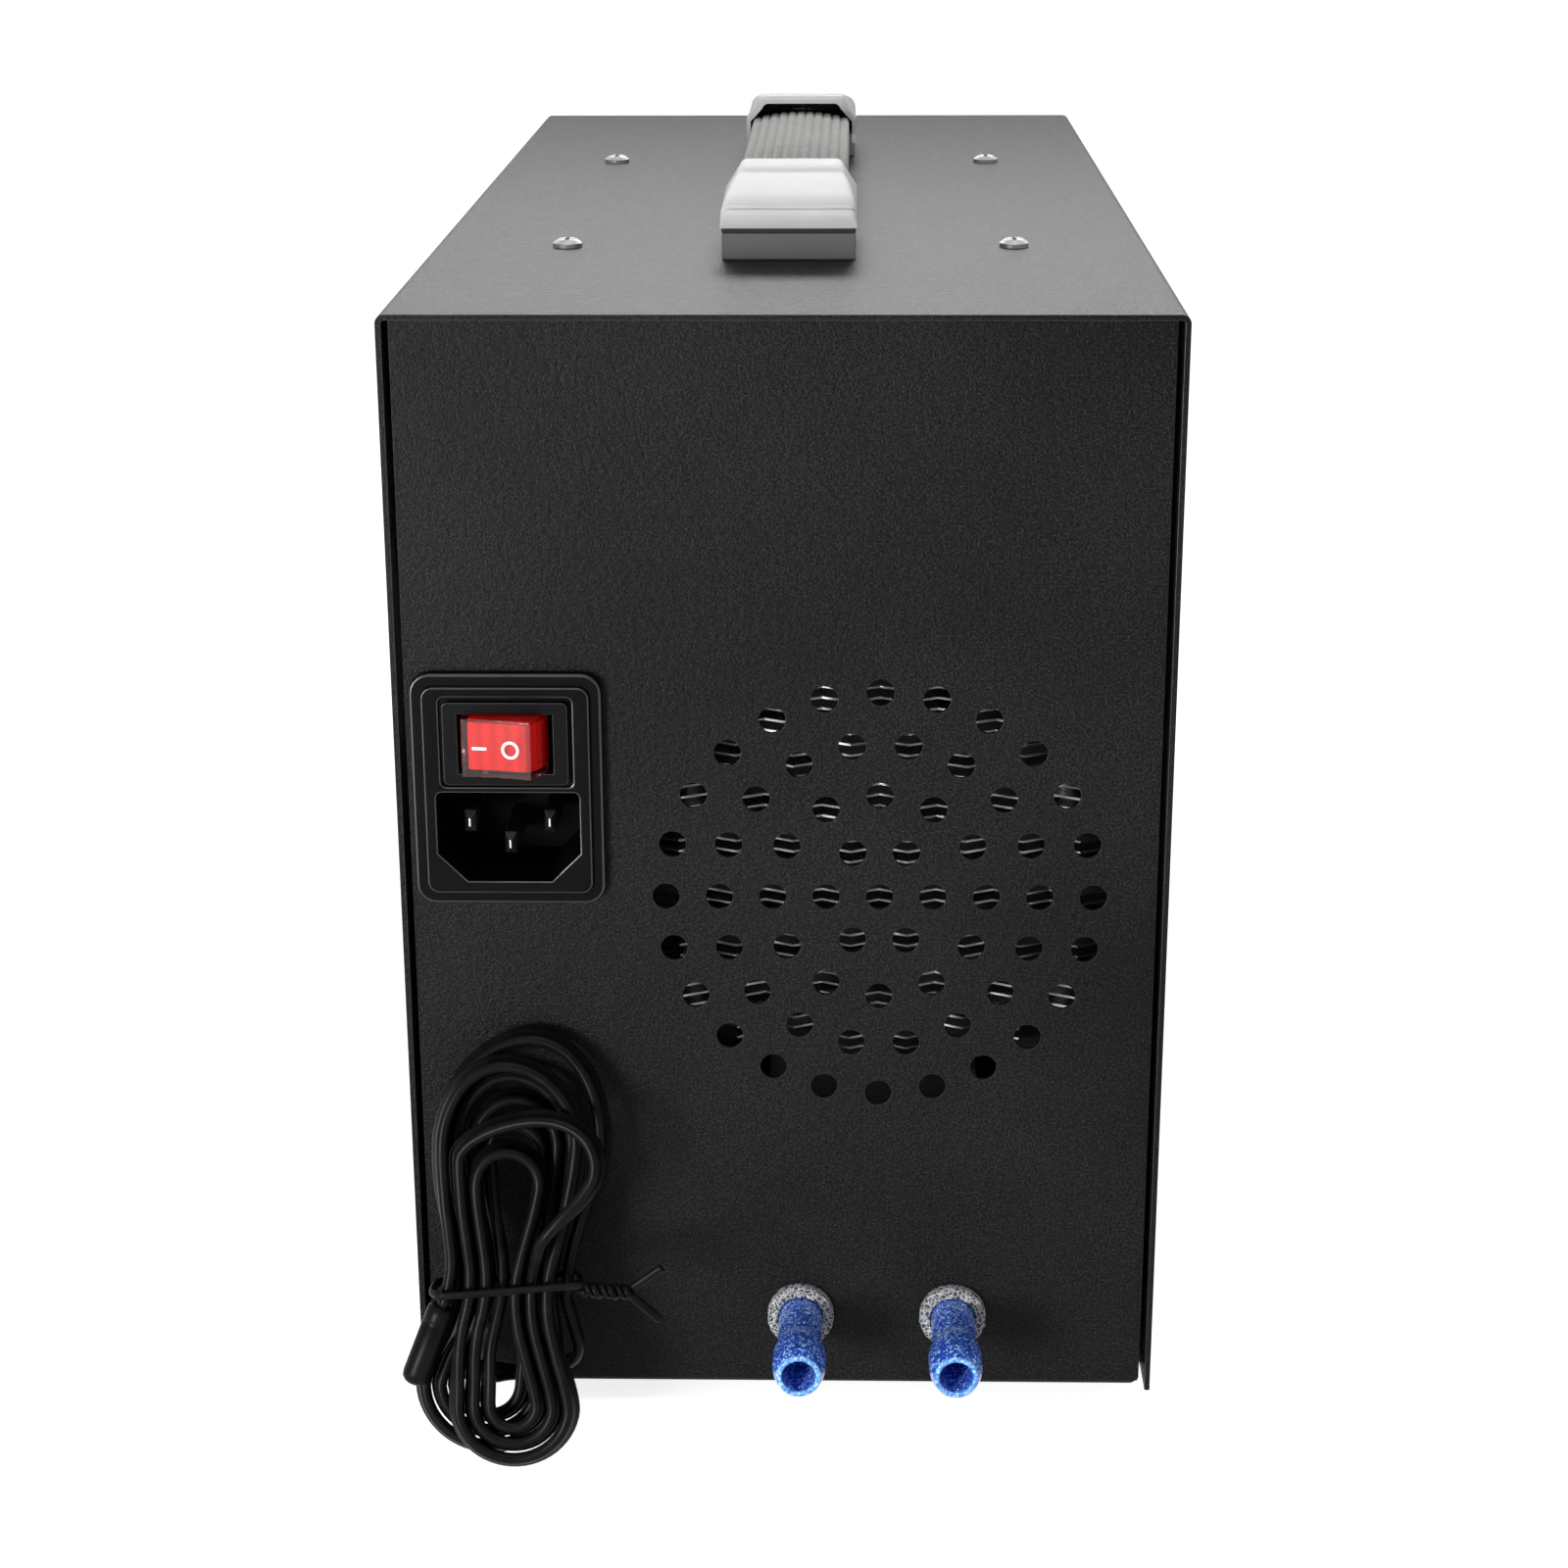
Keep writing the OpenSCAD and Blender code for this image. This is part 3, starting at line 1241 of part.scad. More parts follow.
// Internal wires, each along its own route in the case's frame
module wiring_harness() {
    tab_y = inlet_back_y + pin_tab;
    blade_y = switch_back_y + terminal_l;
    strip_y = psu_y0 + psu_l - terminal_slot_w;
    strip_z = psu_top_z - psu_wall - psu_boss_h - board_t - terminal_block_h / 2;
    wall_x = -cover_in_x + wire_wall_gap;
    loop_y = tab_y + wire_loop;
    rise_y = loop_y + wire_rise_l;
    under_z = psu_top_z - psu_h - wire_under;
    way = function (k) (k - (terminal_ways - 1) / 2) * terminal_pitch;
    front_run = psu_y0 + psu_l + wire_front_gap;
    earth_run = front_run + wire_earth_gap;
    side_x = cool_x - wire_side_x;
    tec_z = (block_z1 + tec_z1) / 2;
    fan_x = cool_x - fan_w / 2;
    fan_wire_z = vent_z - fan_wire_drop;
    board_back_y = board_front_y - board_t;
    color([0.6, 0.1, 0.08]) in_case() {
        for (side = [-1, 1]) soft_wire(wire_d, [
            [inlet_x + side * pin_gap / 2, tab_y, recess_z + pin_raise],
            [inlet_x + side * pin_gap / 2, loop_y, recess_z + pin_raise],
            [inlet_x + side * terminal_x, loop_y, switch_z - terminal_z],
            [inlet_x + side * terminal_x, blade_y, switch_z - terminal_z]
        ]);
        for (k = [0, 1]) soft_wire(wire_d, [
            [inlet_x + (2 * k - 1) * terminal_x, blade_y, switch_z + terminal_z],
            [inlet_x + (2 * k - 1) * terminal_x, loop_y, switch_z + terminal_z],
            [wall_x + k * wire_pitch, rise_y, under_z],
            [wall_x + k * wire_pitch, front_run, under_z],
            [way(k), front_run, strip_z], [way(k), strip_y, strip_z]
        ]);
        soft_wire(wire_d, [
            [inlet_x, tab_y, recess_z - pin_raise], [inlet_x, loop_y, recess_z - pin_raise],
            [wall_x + wire_pitch / 2, rise_y, under_z - wire_pitch],
            [wall_x + wire_pitch / 2, earth_run, under_z - wire_pitch],
            [way(2), earth_run, strip_z], [way(2), strip_y, strip_z]
        ]);
        for (k = [0, 1]) for (lane = [0, 1]) let (
            x = side_x - lane * wire_pitch,
            run_y = front_run + k * wire_pitch,
            low_z = block_z1 + (1 + k) * wire_pitch,
            lead_y = tower_ys[k] + wire_tec_y + lane * wire_pitch
        ) soft_wire(wire_d, [
            [way(3 + lane + 2 * k), strip_y, strip_z], [way(3 + lane + 2 * k), run_y, strip_z],
            [x, run_y, strip_z - wire_drop], [x, run_y, low_z], [x, lead_y, low_z], [x, lead_y, tec_z],
            [cool_x - tec_w / 2, lead_y, tec_z]
        ]);
        for (k = [0, 1]) soft_wire(thin_wire_d, [
            [fan_x, fan_y(k) + fan_t / 2, fan_wire_z],
            [fan_x - fan_wire_out - k * fan_wire_step, fan_y(k) + fan_t / 2, fan_wire_z],
            [fan_x - fan_wire_out - k * fan_wire_step, front_run + wire_rise_l, fan_wire_z],
            [-board_wire_x - k * wire_pitch, board_back_y - board_wire_l, board_z - board_wire_z],
            [-board_wire_x - k * wire_pitch, board_back_y, board_z - board_wire_z]
        ]);
        soft_wire(thin_wire_d, [
            [grommet_x, rear_in_y + grommet_back_t, grommet_z], [grommet_x, rear_in_y + probe_wire_l, grommet_z],
            [grommet_x, front_run + probe_wire_run, grommet_z],
            [-probe_wire_x, board_back_y - board_wire_l, board_z - probe_wire_z],
            [-probe_wire_x, board_back_y, board_z - probe_wire_z]
        ]);
    }
}

// A tube along a route: a ring of points at each place, squared to the given direction
function ring_at(at, along, wide, outline) =
    let (b = unit(wide - (wide * along) * along), n = cross(b, along))
    [for (p = outline) at + p[0] * b + p[1] * n];
module tube_along(route, alongs, wides, outline) {
    sides = len(outline);
    last = len(route) - 1;
    points = [for (i = [0 : last]) each ring_at(route[i], alongs[i], wides[i], outline)];
    walls = [for (i = [0 : last - 1]) for (s = [0 : sides - 1])
        let (a = i * sides + s, b = i * sides + (s + 1) % sides) each [[a, b, b + sides], [a, b + sides, a + sides]]];
    ends = [for (s = [1 : sides - 2]) each [
        [0, s + 1, s], [last * sides, last * sides + s, last * sides + s + 1]
    ]];
    polyhedron(points = points, faces = concat(walls, ends));
}
function directions(route, first, final) = let (last = len(route) - 1)
    [for (i = [0 : last]) i == 0 ? first : i == last ? final : unit(route[i + 1] - route[i - 1])];
flat_x = cable_w / 2 * flat_corner_share;
flat_outline = [
    [cable_w / 2, 0], [flat_x, cable_t / 2], [-flat_x, cable_t / 2],
    [-cable_w / 2, 0], [-flat_x, -cable_t / 2], [flat_x, -cable_t / 2]
];

// The hank in its own frame: x across, z up along its runs, -y towards the viewer behind the case
function hank_ring(t) = (t - floor(t)) * hank_turn_rings;
function hank_high(t) = let (r = hank_ring(t))
    r < rings_up ? fold_share(hank_start_v, hank_up_v, r / rings_up)
    : r < rings_up + rings_top
        ? hank_up_v + hank_top_share * hank_reach(t) * sin(180 * (r - rings_up) / rings_top)
    : r < rings_up + rings_top + rings_down
        ? fold_share(hank_up_v, hank_low_v, (r - rings_up - rings_top) / rings_down)
    : r < hank_turn_rings - rings_last
        ? hank_low_v - hank_reach(t) * sin(180 * (r - rings_up - rings_top - rings_down) / rings_bottom)
    : fold_share(hank_low_v, hank_start_v, (r - hank_turn_rings + rings_last) / rings_last);
function hank_reach(t) = hank_in_w + hank_step * abs(t - hank_mid_turn);
function hank_side(t) = let (r = hank_ring(t))
    r < rings_up ? 1
    : r < rings_up + rings_top ? cos(180 * (r - rings_up) / rings_top)
    : r < rings_up + rings_top + rings_down ? -1
    : r < hank_turn_rings - rings_last ? -cos(180 * (r - rings_up - rings_top - rings_down) / rings_bottom)
    : 1;
function hank_flare_at(t) = hank_flare * pow(max(0, (t - hank_end_turn) / hank_flare_turn + 1), 4);
function hank_point(t) = let (
    v = hank_high(t),
    pull = hank_waist_in * exp(-pow((v - hank_waist_v) / hank_waist_reach, 2)),
    climb = smooth((t - hank_mid_turn) / (2 * hank_climb_turn) + 1 / 2)
) [hank_side(t) * (hank_reach(t) - pull + hank_flare_at(t)), -hank_layer * climb, v];
hank_turns = concat(
    [for (i = [0 : floor(hank_end_turn * hank_turn_rings)]) i / hank_turn_rings], [hank_end_turn]);
hank_end_way = [-sin(probe_lean), 0, -cos(probe_lean)];
hank_end = hank_point(hank_end_turn) + hank_tail * hank_end_way;
// A point of the hank's frame in the row's frame
function stood(p) = let (
    side = p[0] * cos(hank_lean) + p[2] * sin(hank_lean),
    high = p[2] * cos(hank_lean) - p[0] * sin(hank_lean)
) [
    hank_x + side,
    hank_y + p[1] * cos(hank_tilt) + high * sin(hank_tilt),
    high * cos(hank_tilt) - p[1] * sin(hank_tilt)
];
module in_hank() {
    translate([hank_x, hank_y, 0]) rotate([-hank_tilt, 0, 0]) rotate([0, hank_lean, 0]) children();
}

// The clear space between two stretches of the flat cable, whose wide side lies along y
function cable_gap(p, q) = norm([
    max(0, abs(p[1] - q[1]) - cable_w), max(0, norm([p[0] - q[0], p[2] - q[2]]) - cable_t)
]);
module probe_hank() {
    route = concat([for (t = hank_turns) hank_point(t)], [hank_end]);
    fine = [for (i = [0 : len(route) - 2]) each [route[i], (route[i] + route[i + 1]) / 2]];
    last = len(fine) - 1;
    echo(hank_least_gap = min([for (i = [0 : last - 8]) for (j = [i + 8 : last]) cable_gap(fine[i], fine[j])]));
    echo(hank_length = norm_sum(route));
    color([0.06, 0.06, 0.06]) in_hank()
        tube_along(route, directions(route, [0, 0, 1], hank_end_way), [for (p = route) [0, 1, 0]], flat_outline);
}
function norm_sum(route) = let (steps = [for (i = [0 : len(route) - 2]) norm(route[i + 1] - route[i])])
    steps * [for (step = steps) 1];

// The lead leaves the grommet, turns behind the hank, twists a quarter and rises into the first run
module probe_lead() {
    start = [grommet_x, rear_y + case_y - grommet_flange_t, grommet_z + foot_h];
    up = stood([0, 0, 1]) - stood([0, 0, 0]);
    wide_end = stood([0, 1, 0]) - stood([0, 0, 0]);
    finish = stood(hank_point(0));
    route = concat([start, start - [0, cable_t, 0]], lead_route, [finish - cable_t * up, finish]);
    wides = [for (i = [0 : len(route) - 1])
        let (s = smooth((i - 1 - lead_twist_from) / (lead_twist_to - lead_twist_from)))
            unit([0, s * wide_end[1], 1 - s + s * wide_end[2]])];
    echo(lead_length = norm_sum(route));
    color([0.06, 0.06, 0.06]) tube_along(route, directions(route, [0, -1, 0], up), wides, flat_outline);
}

module cable_grommet() {
    color([0.05, 0.05, 0.05]) in_case() {
        bar_y(grommet_flange_d, grommet_flange_t, [grommet_x, rear_y - grommet_flange_t, grommet_z]);
        bar_y(grommet_d, sheet_t + grommet_back_t, [grommet_x, rear_y, grommet_z]);
        bar_y(grommet_d + 2 * slip, grommet_back_t - slip, [grommet_x, rear_in_y + slip, grommet_z]);
    }
}

// The tie round the hank's waist: a rounded rectangle, then two ends twisted together
tie_half_w = hank_reach(0) - hank_waist_in + cable_t / 2 + tie_clear + tie_d / 2;
tie_half_d = (hank_layer + cable_w) / 2 + tie_clear + tie_d / 2;
tie_mid_y = -hank_layer / 2;
module twist_tie() {
    start_x = tie_half_w;
    front_y0 = tie_mid_y - tie_half_d;
    strand = tie_d / 2 + tie_strand_gap;
    helix = function (s, phase) let (a = phase + 360 * tie_twist_turns * s) [
        start_x + tie_d + tie_twist_l * s,
        front_y0 + tie_d + strand * cos(a),
        hank_waist_v + tie_rise + strand * sin(a)
    ];
    corner = function (sx, sy, from) [for (k = [0 : 3]) let (a = from - 30 * k) [
        sx * (tie_half_w - tie_corner_r) + tie_corner_r * cos(a),
        tie_mid_y + sy * (tie_half_d - tie_corner_r) + tie_corner_r * sin(a),
        hank_waist_v + tie_rise * sx
    ]];
    steps = tie_twist_rings;
    far = start_x + tie_d + tie_twist_l;
    route = concat(
        [[far + tie_end_l, front_y0 + tie_d - tie_spread / 3, hank_waist_v + tie_rise + tie_spread]],
        [for (k = [steps : -1 : 0]) helix(k / steps, 90)],
        [[start_x, front_y0 + tie_d / 4, hank_waist_v + tie_rise + strand],
            [tie_half_w - tie_corner_r, front_y0, hank_waist_v + tie_rise + strand / 2]],
        corner(-1, -1, 270), corner(-1, 1, 180), corner(1, 1, 90),
        [[tie_half_w, tie_mid_y - tie_half_d / 4, hank_waist_v + tie_rise - strand / 2],
            [start_x, front_y0 + 2 * tie_d, hank_waist_v + tie_rise - strand]],
        [for (k = [0 : steps]) helix(k / steps, 270)],
        [[far + tie_end_l, front_y0 + tie_d + tie_spread / 3, hank_waist_v + tie_rise - tie_spread]]
    );
    alongs = directions(route, unit(route[1] - route[0]), unit(route[len(route) - 1] - route[len(route) - 2]));
    outline = [for (k = [0 : 5]) tie_d / 2 * [cos(60 * k), sin(60 * k)]];
    color([0.05, 0.05, 0.05]) in_hank() tube_along(route, alongs, [for (d = alongs) wide_of(d)], outline);
}

module probe() {
    color([0.04, 0.04, 0.04]) in_hank() translate(hank_end) rotate([0, 180 + probe_lean, 0]) {
        cylinder(d1 = probe_d - 2 * probe_tip * probe_nose_share, d2 = probe_d, h = probe_tip);
        translate([0, 0, probe_tip]) cylinder(d = probe_d, h = probe_l - 2 * probe_tip);
        translate([0, 0, probe_l - probe_tip]) cylinder(d1 = probe_d, d2 = probe_d - 2 * probe_tip, h = probe_tip);
    }
}

cover();
chassis();
rubber_feet();
foot_screws();
cover_screws();
inlet_housing();
inlet_pins();
switch_body();
switch_rocker();
switch_terminals();
left_water_tube();
right_water_tube();
left_foam_collar();
right_foam_collar();
water_block();
block_insulation();
rear_tec();
front_tec();
rear_heatsink_base();
front_heatsink_base();
rear_heat_pipes();
front_heat_pipes();
rear_fins();
front_fins();
clamp_bars();
clamp_posts();
clamp_screws();
rear_fan_frame();
front_fan_frame();
rear_fan_rotor();
front_fan_rotor();
fan_clips();
psu_case();
psu_cover();
psu_board();
psu_terminals();
psu_spacers();
psu_screws();
rear_handle_block();
front_handle_block();
handle_liners();
rear_handle_cap();
front_handle_cap();
strap_band();
strap_sleeve();
handle_screws();
handle_nuts();
display_bezel();
display_window();
display_module();
control_board();
left_button();
middle_button();
right_button();
wiring_harness();
cable_grommet();
probe_lead();
probe_hank();
twist_tie();
probe();
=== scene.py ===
# Aquarium chiller seen from its rear: camera and lead first, then the case, the handle and the light.
# Metres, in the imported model's frame: +Z up, -Y out of the rear panel. The pieces' sizes are named in
# millimetres, and MM turns them into metres.
import bpy, bmesh, math
from mathutils import Matrix, Vector, noise


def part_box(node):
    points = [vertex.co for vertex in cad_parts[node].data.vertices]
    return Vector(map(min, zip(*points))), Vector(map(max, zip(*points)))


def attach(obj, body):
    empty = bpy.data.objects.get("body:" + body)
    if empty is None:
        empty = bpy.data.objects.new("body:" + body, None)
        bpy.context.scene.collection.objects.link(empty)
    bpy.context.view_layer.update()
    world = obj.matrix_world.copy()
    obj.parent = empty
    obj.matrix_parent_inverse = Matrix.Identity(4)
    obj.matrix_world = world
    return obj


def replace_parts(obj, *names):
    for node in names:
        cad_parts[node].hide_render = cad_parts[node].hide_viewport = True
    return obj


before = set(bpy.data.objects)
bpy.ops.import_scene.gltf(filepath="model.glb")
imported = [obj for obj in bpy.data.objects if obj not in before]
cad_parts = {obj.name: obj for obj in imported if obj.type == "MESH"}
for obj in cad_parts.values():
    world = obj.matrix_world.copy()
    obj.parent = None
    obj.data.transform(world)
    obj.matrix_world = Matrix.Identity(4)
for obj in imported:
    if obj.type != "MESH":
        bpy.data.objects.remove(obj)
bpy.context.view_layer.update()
MM = 0.001


# Camera
CAMERA_PLACE = (0.0111, -0.63797, 0.28985)
CAMERA_LENS = 69.5665
CAMERA_PITCH, CAMERA_YAW, CAMERA_ROLL = 0.324375, -0.022102, 0.003524


def set_camera():
    lens = bpy.data.cameras.new("rear_view")
    lens.sensor_width = 36
    lens.lens = CAMERA_LENS
    lens.clip_start = 0.01
    camera = bpy.data.objects.new("rear_view", lens)
    turn = (Matrix.Rotation(-CAMERA_YAW, 4, "Z") @ Matrix.Rotation(math.pi / 2 - CAMERA_PITCH, 4, "X")
            @ Matrix.Rotation(-CAMERA_ROLL, 4, "Z"))
    camera.matrix_world = Matrix.Translation(CAMERA_PLACE) @ turn
    bpy.context.scene.collection.objects.link(camera)
    bpy.context.scene.camera = camera


set_camera()


# Materials
def maths(tree, operation, *values):
    """The result of a maths node; each value is a number or another node's output."""
    node = tree.nodes.new("ShaderNodeMath")
    node.operation = operation
    for value, socket in zip(values, node.inputs):
        if isinstance(value, (int, float)):
            socket.default_value = value
        else:
            tree.links.new(value, socket)
    return node.outputs[0]


class Finish:
    """A material built from nodes, with the piece's Object coordinates as its place."""

    def __init__(self, name, **sockets):
        self.material = bpy.data.materials.new(name)
        self.material.use_nodes = True
        self.tree = self.material.node_tree
        self.shader = self.tree.nodes["Principled BSDF"]
        self.place = self.tree.nodes.new("ShaderNodeTexCoord").outputs["Object"]
        for socket, value in sockets.items():
            self.shader.inputs[socket.replace("_", " ")].default_value = value

    def node(self, kind, **settings):
        made = self.tree.nodes.new(kind)
        for key, value in settings.items():
            if hasattr(made, key):
                setattr(made, key, value)
            else:
                made.inputs[key.replace("_", " ")].default_value = value
        return made

    def link(self, out, into):
        self.tree.links.new(out, into)

    def stretched(self, scale):
        mapping = self.node("ShaderNodeMapping")
        mapping.inputs["Scale"].default_value = scale
        self.link(self.place, mapping.inputs["Vector"])
        return mapping.outputs["Vector"]

    def noise(self, scale, detail=4.0, place=None):
        cloud = self.node("ShaderNodeTexNoise", Scale=scale, Detail=detail, Roughness=0.55)
        self.link(place or self.place, cloud.inputs["Vector"])
        return cloud.outputs["Fac"]

    def cells(self, scale, place=None, **settings):
        cells = self.node("ShaderNodeTexVoronoi", Scale=scale, **settings)
        self.link(place or self.place, cells.inputs["Vector"])
        return cells.outputs

    def colour(self, fac, stops, *sockets):
        """A colour ramp on the base colour, or on the sockets that are named instead."""
        ramp = self.node("ShaderNodeValToRGB")
        points = ramp.color_ramp.elements
        for _ in range(len(stops) - 2):
            points.new(0.5)
        for point, (at, colour) in zip(points, stops):
            point.position = at
            point.color = (*colour, 1.0)
        self.link(fac, ramp.inputs["Fac"])
        for socket in sockets or ("Base Color",):
            self.link(ramp.outputs["Color"], self.shader.inputs[socket])

    def rough(self, fac, low, high):
        spread = self.node("ShaderNodeMapRange")
        spread.inputs["To Min"].default_value = low
        spread.inputs["To Max"].default_value = high
        self.link(fac, spread.inputs["Value"])
        self.link(spread.outputs["Result"], self.shader.inputs["Roughness"])

    def bump(self, height, strength, distance, under=None):
        bump = self.node("ShaderNodeBump", Strength=strength, Distance=distance)
        self.link(height, bump.inputs["Height"])
        if under is not None:
            self.link(under, bump.inputs["Normal"])
        self.link(bump.outputs["Normal"], self.shader.inputs["Normal"])
        return bump.outputs["Normal"]


def shade(colour, factor):
    return tuple(min(1.0, c * factor) for c in colour)


def powder_coat():
    """A fine grain with a faint cloud in it, over two depths of orange peel."""
    coat = Finish("powder_coat", Roughness=0.6, Specular_IOR_Level=0.064)
    grain = coat.noise(2600, detail=3)
    cloud = maths(coat.tree, "MULTIPLY", coat.noise(16, detail=5), 0.2)
    coat.colour(maths(coat.tree, "MULTIPLY_ADD", grain, 0.8, cloud),
                [(0.37, (0.001, 0.001, 0.001)), (0.5, (0.0045, 0.0045, 0.0046)),
                 (0.63, (0.017, 0.017, 0.0175))])
    coat.rough(coat.noise(900), 0.34, 0.46)
    fine = coat.bump(grain, 0.7, 0.0002)
    coat.bump(coat.noise(1050, detail=2), 0.5, 0.0003, under=fine)
    return coat.material


def edge_highlight_finish(name, colour, roughness, level):
    """Lighter and glossier than the face it rounds: a painted highlight along an edge."""
    edge = Finish(name, Specular_IOR_Level=level)
    edge.colour(edge.noise(420, detail=5), [(0.35, shade(colour, 0.6)), (0.65, shade(colour, 1.3))])
    edge.rough(edge.noise(700), roughness - 0.05, roughness + 0.1)
    edge.bump(edge.noise(1600), 0.15, 0.00008)
    return edge.material


def moulded(name, colour, roughness=0.45, grain=4200, relief=0.12, **sockets):
    plastic = Finish(name, **sockets)
    plastic.colour(plastic.noise(120, detail=5), [(0.3, shade(colour, 0.82)), (0.7, shade(colour, 1.15))])
    plastic.rough(plastic.noise(300), roughness - 0.06, roughness + 0.08)
    plastic.bump(plastic.noise(grain, detail=3), relief, 0.00006)
    return plastic.material


def metal(name, colour, roughness=0.3, brushed=(300, 300, 6000)):
    bare = Finish(name, Metallic=1.0)
    lines = bare.noise(1.0, place=bare.stretched(brushed))
    bare.colour(bare.noise(90, detail=5), [(0.3, shade(colour, 0.86)), (0.7, shade(colour, 1.06))])
    bare.rough(lines, roughness - 0.07, roughness + 0.1)
    bare.bump(lines, 0.06, 0.00004)
    return bare.material


def silver_paint():
    silver = Finish("silver_cap", Roughness=0.5, Specular_IOR_Level=0.08)
    silver.colour(silver.noise(160, detail=5), [(0.3, (0.6, 0.605, 0.61)), (0.7, (0.64, 0.645, 0.65))])
    silver.rough(silver.noise(500), 0.4, 0.56)
    silver.bump(silver.noise(900), 0.04, 0.00006)
    return silver.material


def glitter_blue():
    """Flakes that each have a shade, a gloss and a lean of their own, under a clear coat."""
    tube = Finish("glitter_blue", Roughness=0.32, Metallic=0.3, Coat_Weight=0.5, Coat_Roughness=0.12)
    pick = tube.node("ShaderNodeSeparateColor")
    tube.link(tube.cells(3400.0)["Color"], pick.inputs["Color"])
    tube.colour(pick.outputs["Red"], [(0.0, (0.005, 0.03, 0.26)), (0.5, (0.012, 0.065, 0.46)),
                                      (0.76, (0.035, 0.17, 0.8)), (0.94, (0.5, 0.74, 1.0))])
    tube.rough(pick.outputs["Green"], 0.18, 0.5)
    tube.bump(pick.outputs["Blue"], 0.55, 0.00012)
    return tube.material


def pale_lip():
    lip = Finish("pale_blue_lip", Roughness=0.4, Specular_IOR_Level=0.3)
    lip.colour(lip.noise(1800),
               [(0.35, (0.03, 0.13, 0.42)), (0.5, (0.09, 0.26, 0.62)), (0.65, (0.42, 0.66, 0.95))])
    lip.bump(lip.noise(2500), 0.3, 0.00008)
    return lip.material


def open_foam():
    """Pale strands round dark pores, bent out of line by a swirl; the pores' darkness is painted shade."""
    foam = Finish("open_foam", Roughness=0.7, Specular_IOR_Level=0.3)
    swirl = foam.node("ShaderNodeTexNoise", Scale=700.0)
    foam.link(foam.place, swirl.inputs["Vector"])
    warp = foam.node("ShaderNodeVectorMath", operation="MULTIPLY_ADD")
    foam.link(swirl.outputs["Color"], warp.inputs[0])
    warp.inputs[1].default_value = (0.0012, 0.0012, 0.0012)
    foam.link(foam.place, warp.inputs[2])
    strands = foam.cells(1250.0, warp.outputs["Vector"], feature="DISTANCE_TO_EDGE")["Distance"]
    foam.colour(strands,
                [(0.0, (0.6, 0.61, 0.62)), (0.05, (0.2, 0.205, 0.21)), (0.22, (0.035, 0.035, 0.037))])
    foam.bump(strands, -0.9, 0.0004)
    return foam.material


def soft_foam():
    foam = Finish("soft_foam", Roughness=0.9)
    foam.colour(foam.noise(1300), [(0.3, (0.02, 0.02, 0.02)), (0.7, (0.06, 0.06, 0.06))])
    foam.bump(foam.noise(1700), 0.5, 0.0003)
    return foam.material


def lead_plastic():
    lead = Finish("lead_plastic", Roughness=0.28, Specular_IOR_Level=0.05)
    lead.colour(lead.noise(260), [(0.3, (0.002, 0.002, 0.002)), (0.7, (0.005, 0.005, 0.0052))])
    lead.rough(lead.noise(700), 0.28, 0.4)
    lead.bump(lead.noise(1400), 0.1, 0.00008)
    return lead.material


def rocker_shell():
    shell = Finish("rocker_shell", Roughness=0.08, Transmission_Weight=1.0, IOR=1.42, Specular_IOR_Level=0.2,
                   Base_Color=(1.0, 0.42, 0.4, 1.0))
    shell.bump(shell.noise(500), 0.05, 0.00005)
    return shell.material


# The heart's emission is a painted glow.
def rocker_core(name, light, dark, glow):
    core = Finish(name, Roughness=0.45, Specular_IOR_Level=0.1, Emission_Strength=glow)
    dots = core.cells(2300.0, Randomness=0.2)["Distance"]
    core.colour(dots, [(0.15, light), (0.5, dark)], "Base Color", "Emission Color")
    core.bump(dots, 0.3, 0.0001)
    return core.material


def clear_block():
    block = Finish("clear_block", Roughness=0.5, Transmission_Weight=0.6, IOR=1.49,
                   Base_Color=(0.42, 0.43, 0.43, 1.0))
    block.rough(block.noise(220, detail=5), 0.4, 0.62)
    block.bump(block.noise(160), 0.08, 0.0002)
    return block.material


def strap_weave():
    strap = Finish("strap_weave", Roughness=0.8, Specular_IOR_Level=0.12)
    strap.colour(strap.noise(150, detail=5), [(0.3, (0.3, 0.305, 0.292)), (0.7, (0.34, 0.345, 0.33))])
    strap.bump(strap.noise(1900, detail=2), 0.15, 0.0001)
    return strap.material


def smoked_window():
    pane = Finish("smoked_window", Roughness=0.06, Transmission_Weight=0.85, IOR=1.49,
                  Base_Color=(0.5, 0.13, 0.11, 1.0))
    pane.bump(pane.noise(40), 0.01, 0.0001)
    return pane.material


def digit_glow():
    glow = Finish("digit_glow", Roughness=0.5, Emission_Strength=1.6)
    mottle = glow.noise(700)
    glow.colour(mottle, [(0.3, (0.95, 0.07, 0.03)), (0.7, (1.0, 0.11, 0.05))], "Emission Color")
    glow.colour(mottle, [(0.3, (0.7, 0.05, 0.03)), (0.7, (0.8, 0.08, 0.04))])
    return glow.material


def solder_mask(name, colour):
    """A board's tracks, with more of its own colour between them."""
    board = Finish(name, Roughness=0.4, Coat_Weight=0.3)
    tracks = board.node("ShaderNodeTexBrick", Scale=160.0, Mortar_Size=0.06)
    for socket, factor in (("Color1", 1.0), ("Color2", 1.3), ("Mortar", 1.9)):
        tracks.inputs[socket].default_value = (*shade(colour, factor), 1.0)
    board.link(board.place, tracks.inputs["Vector"])
    board.link(tracks.outputs["Color"], board.shader.inputs["Base Color"])
    board.bump(board.noise(900), 0.1, 0.0001)
    return board.material


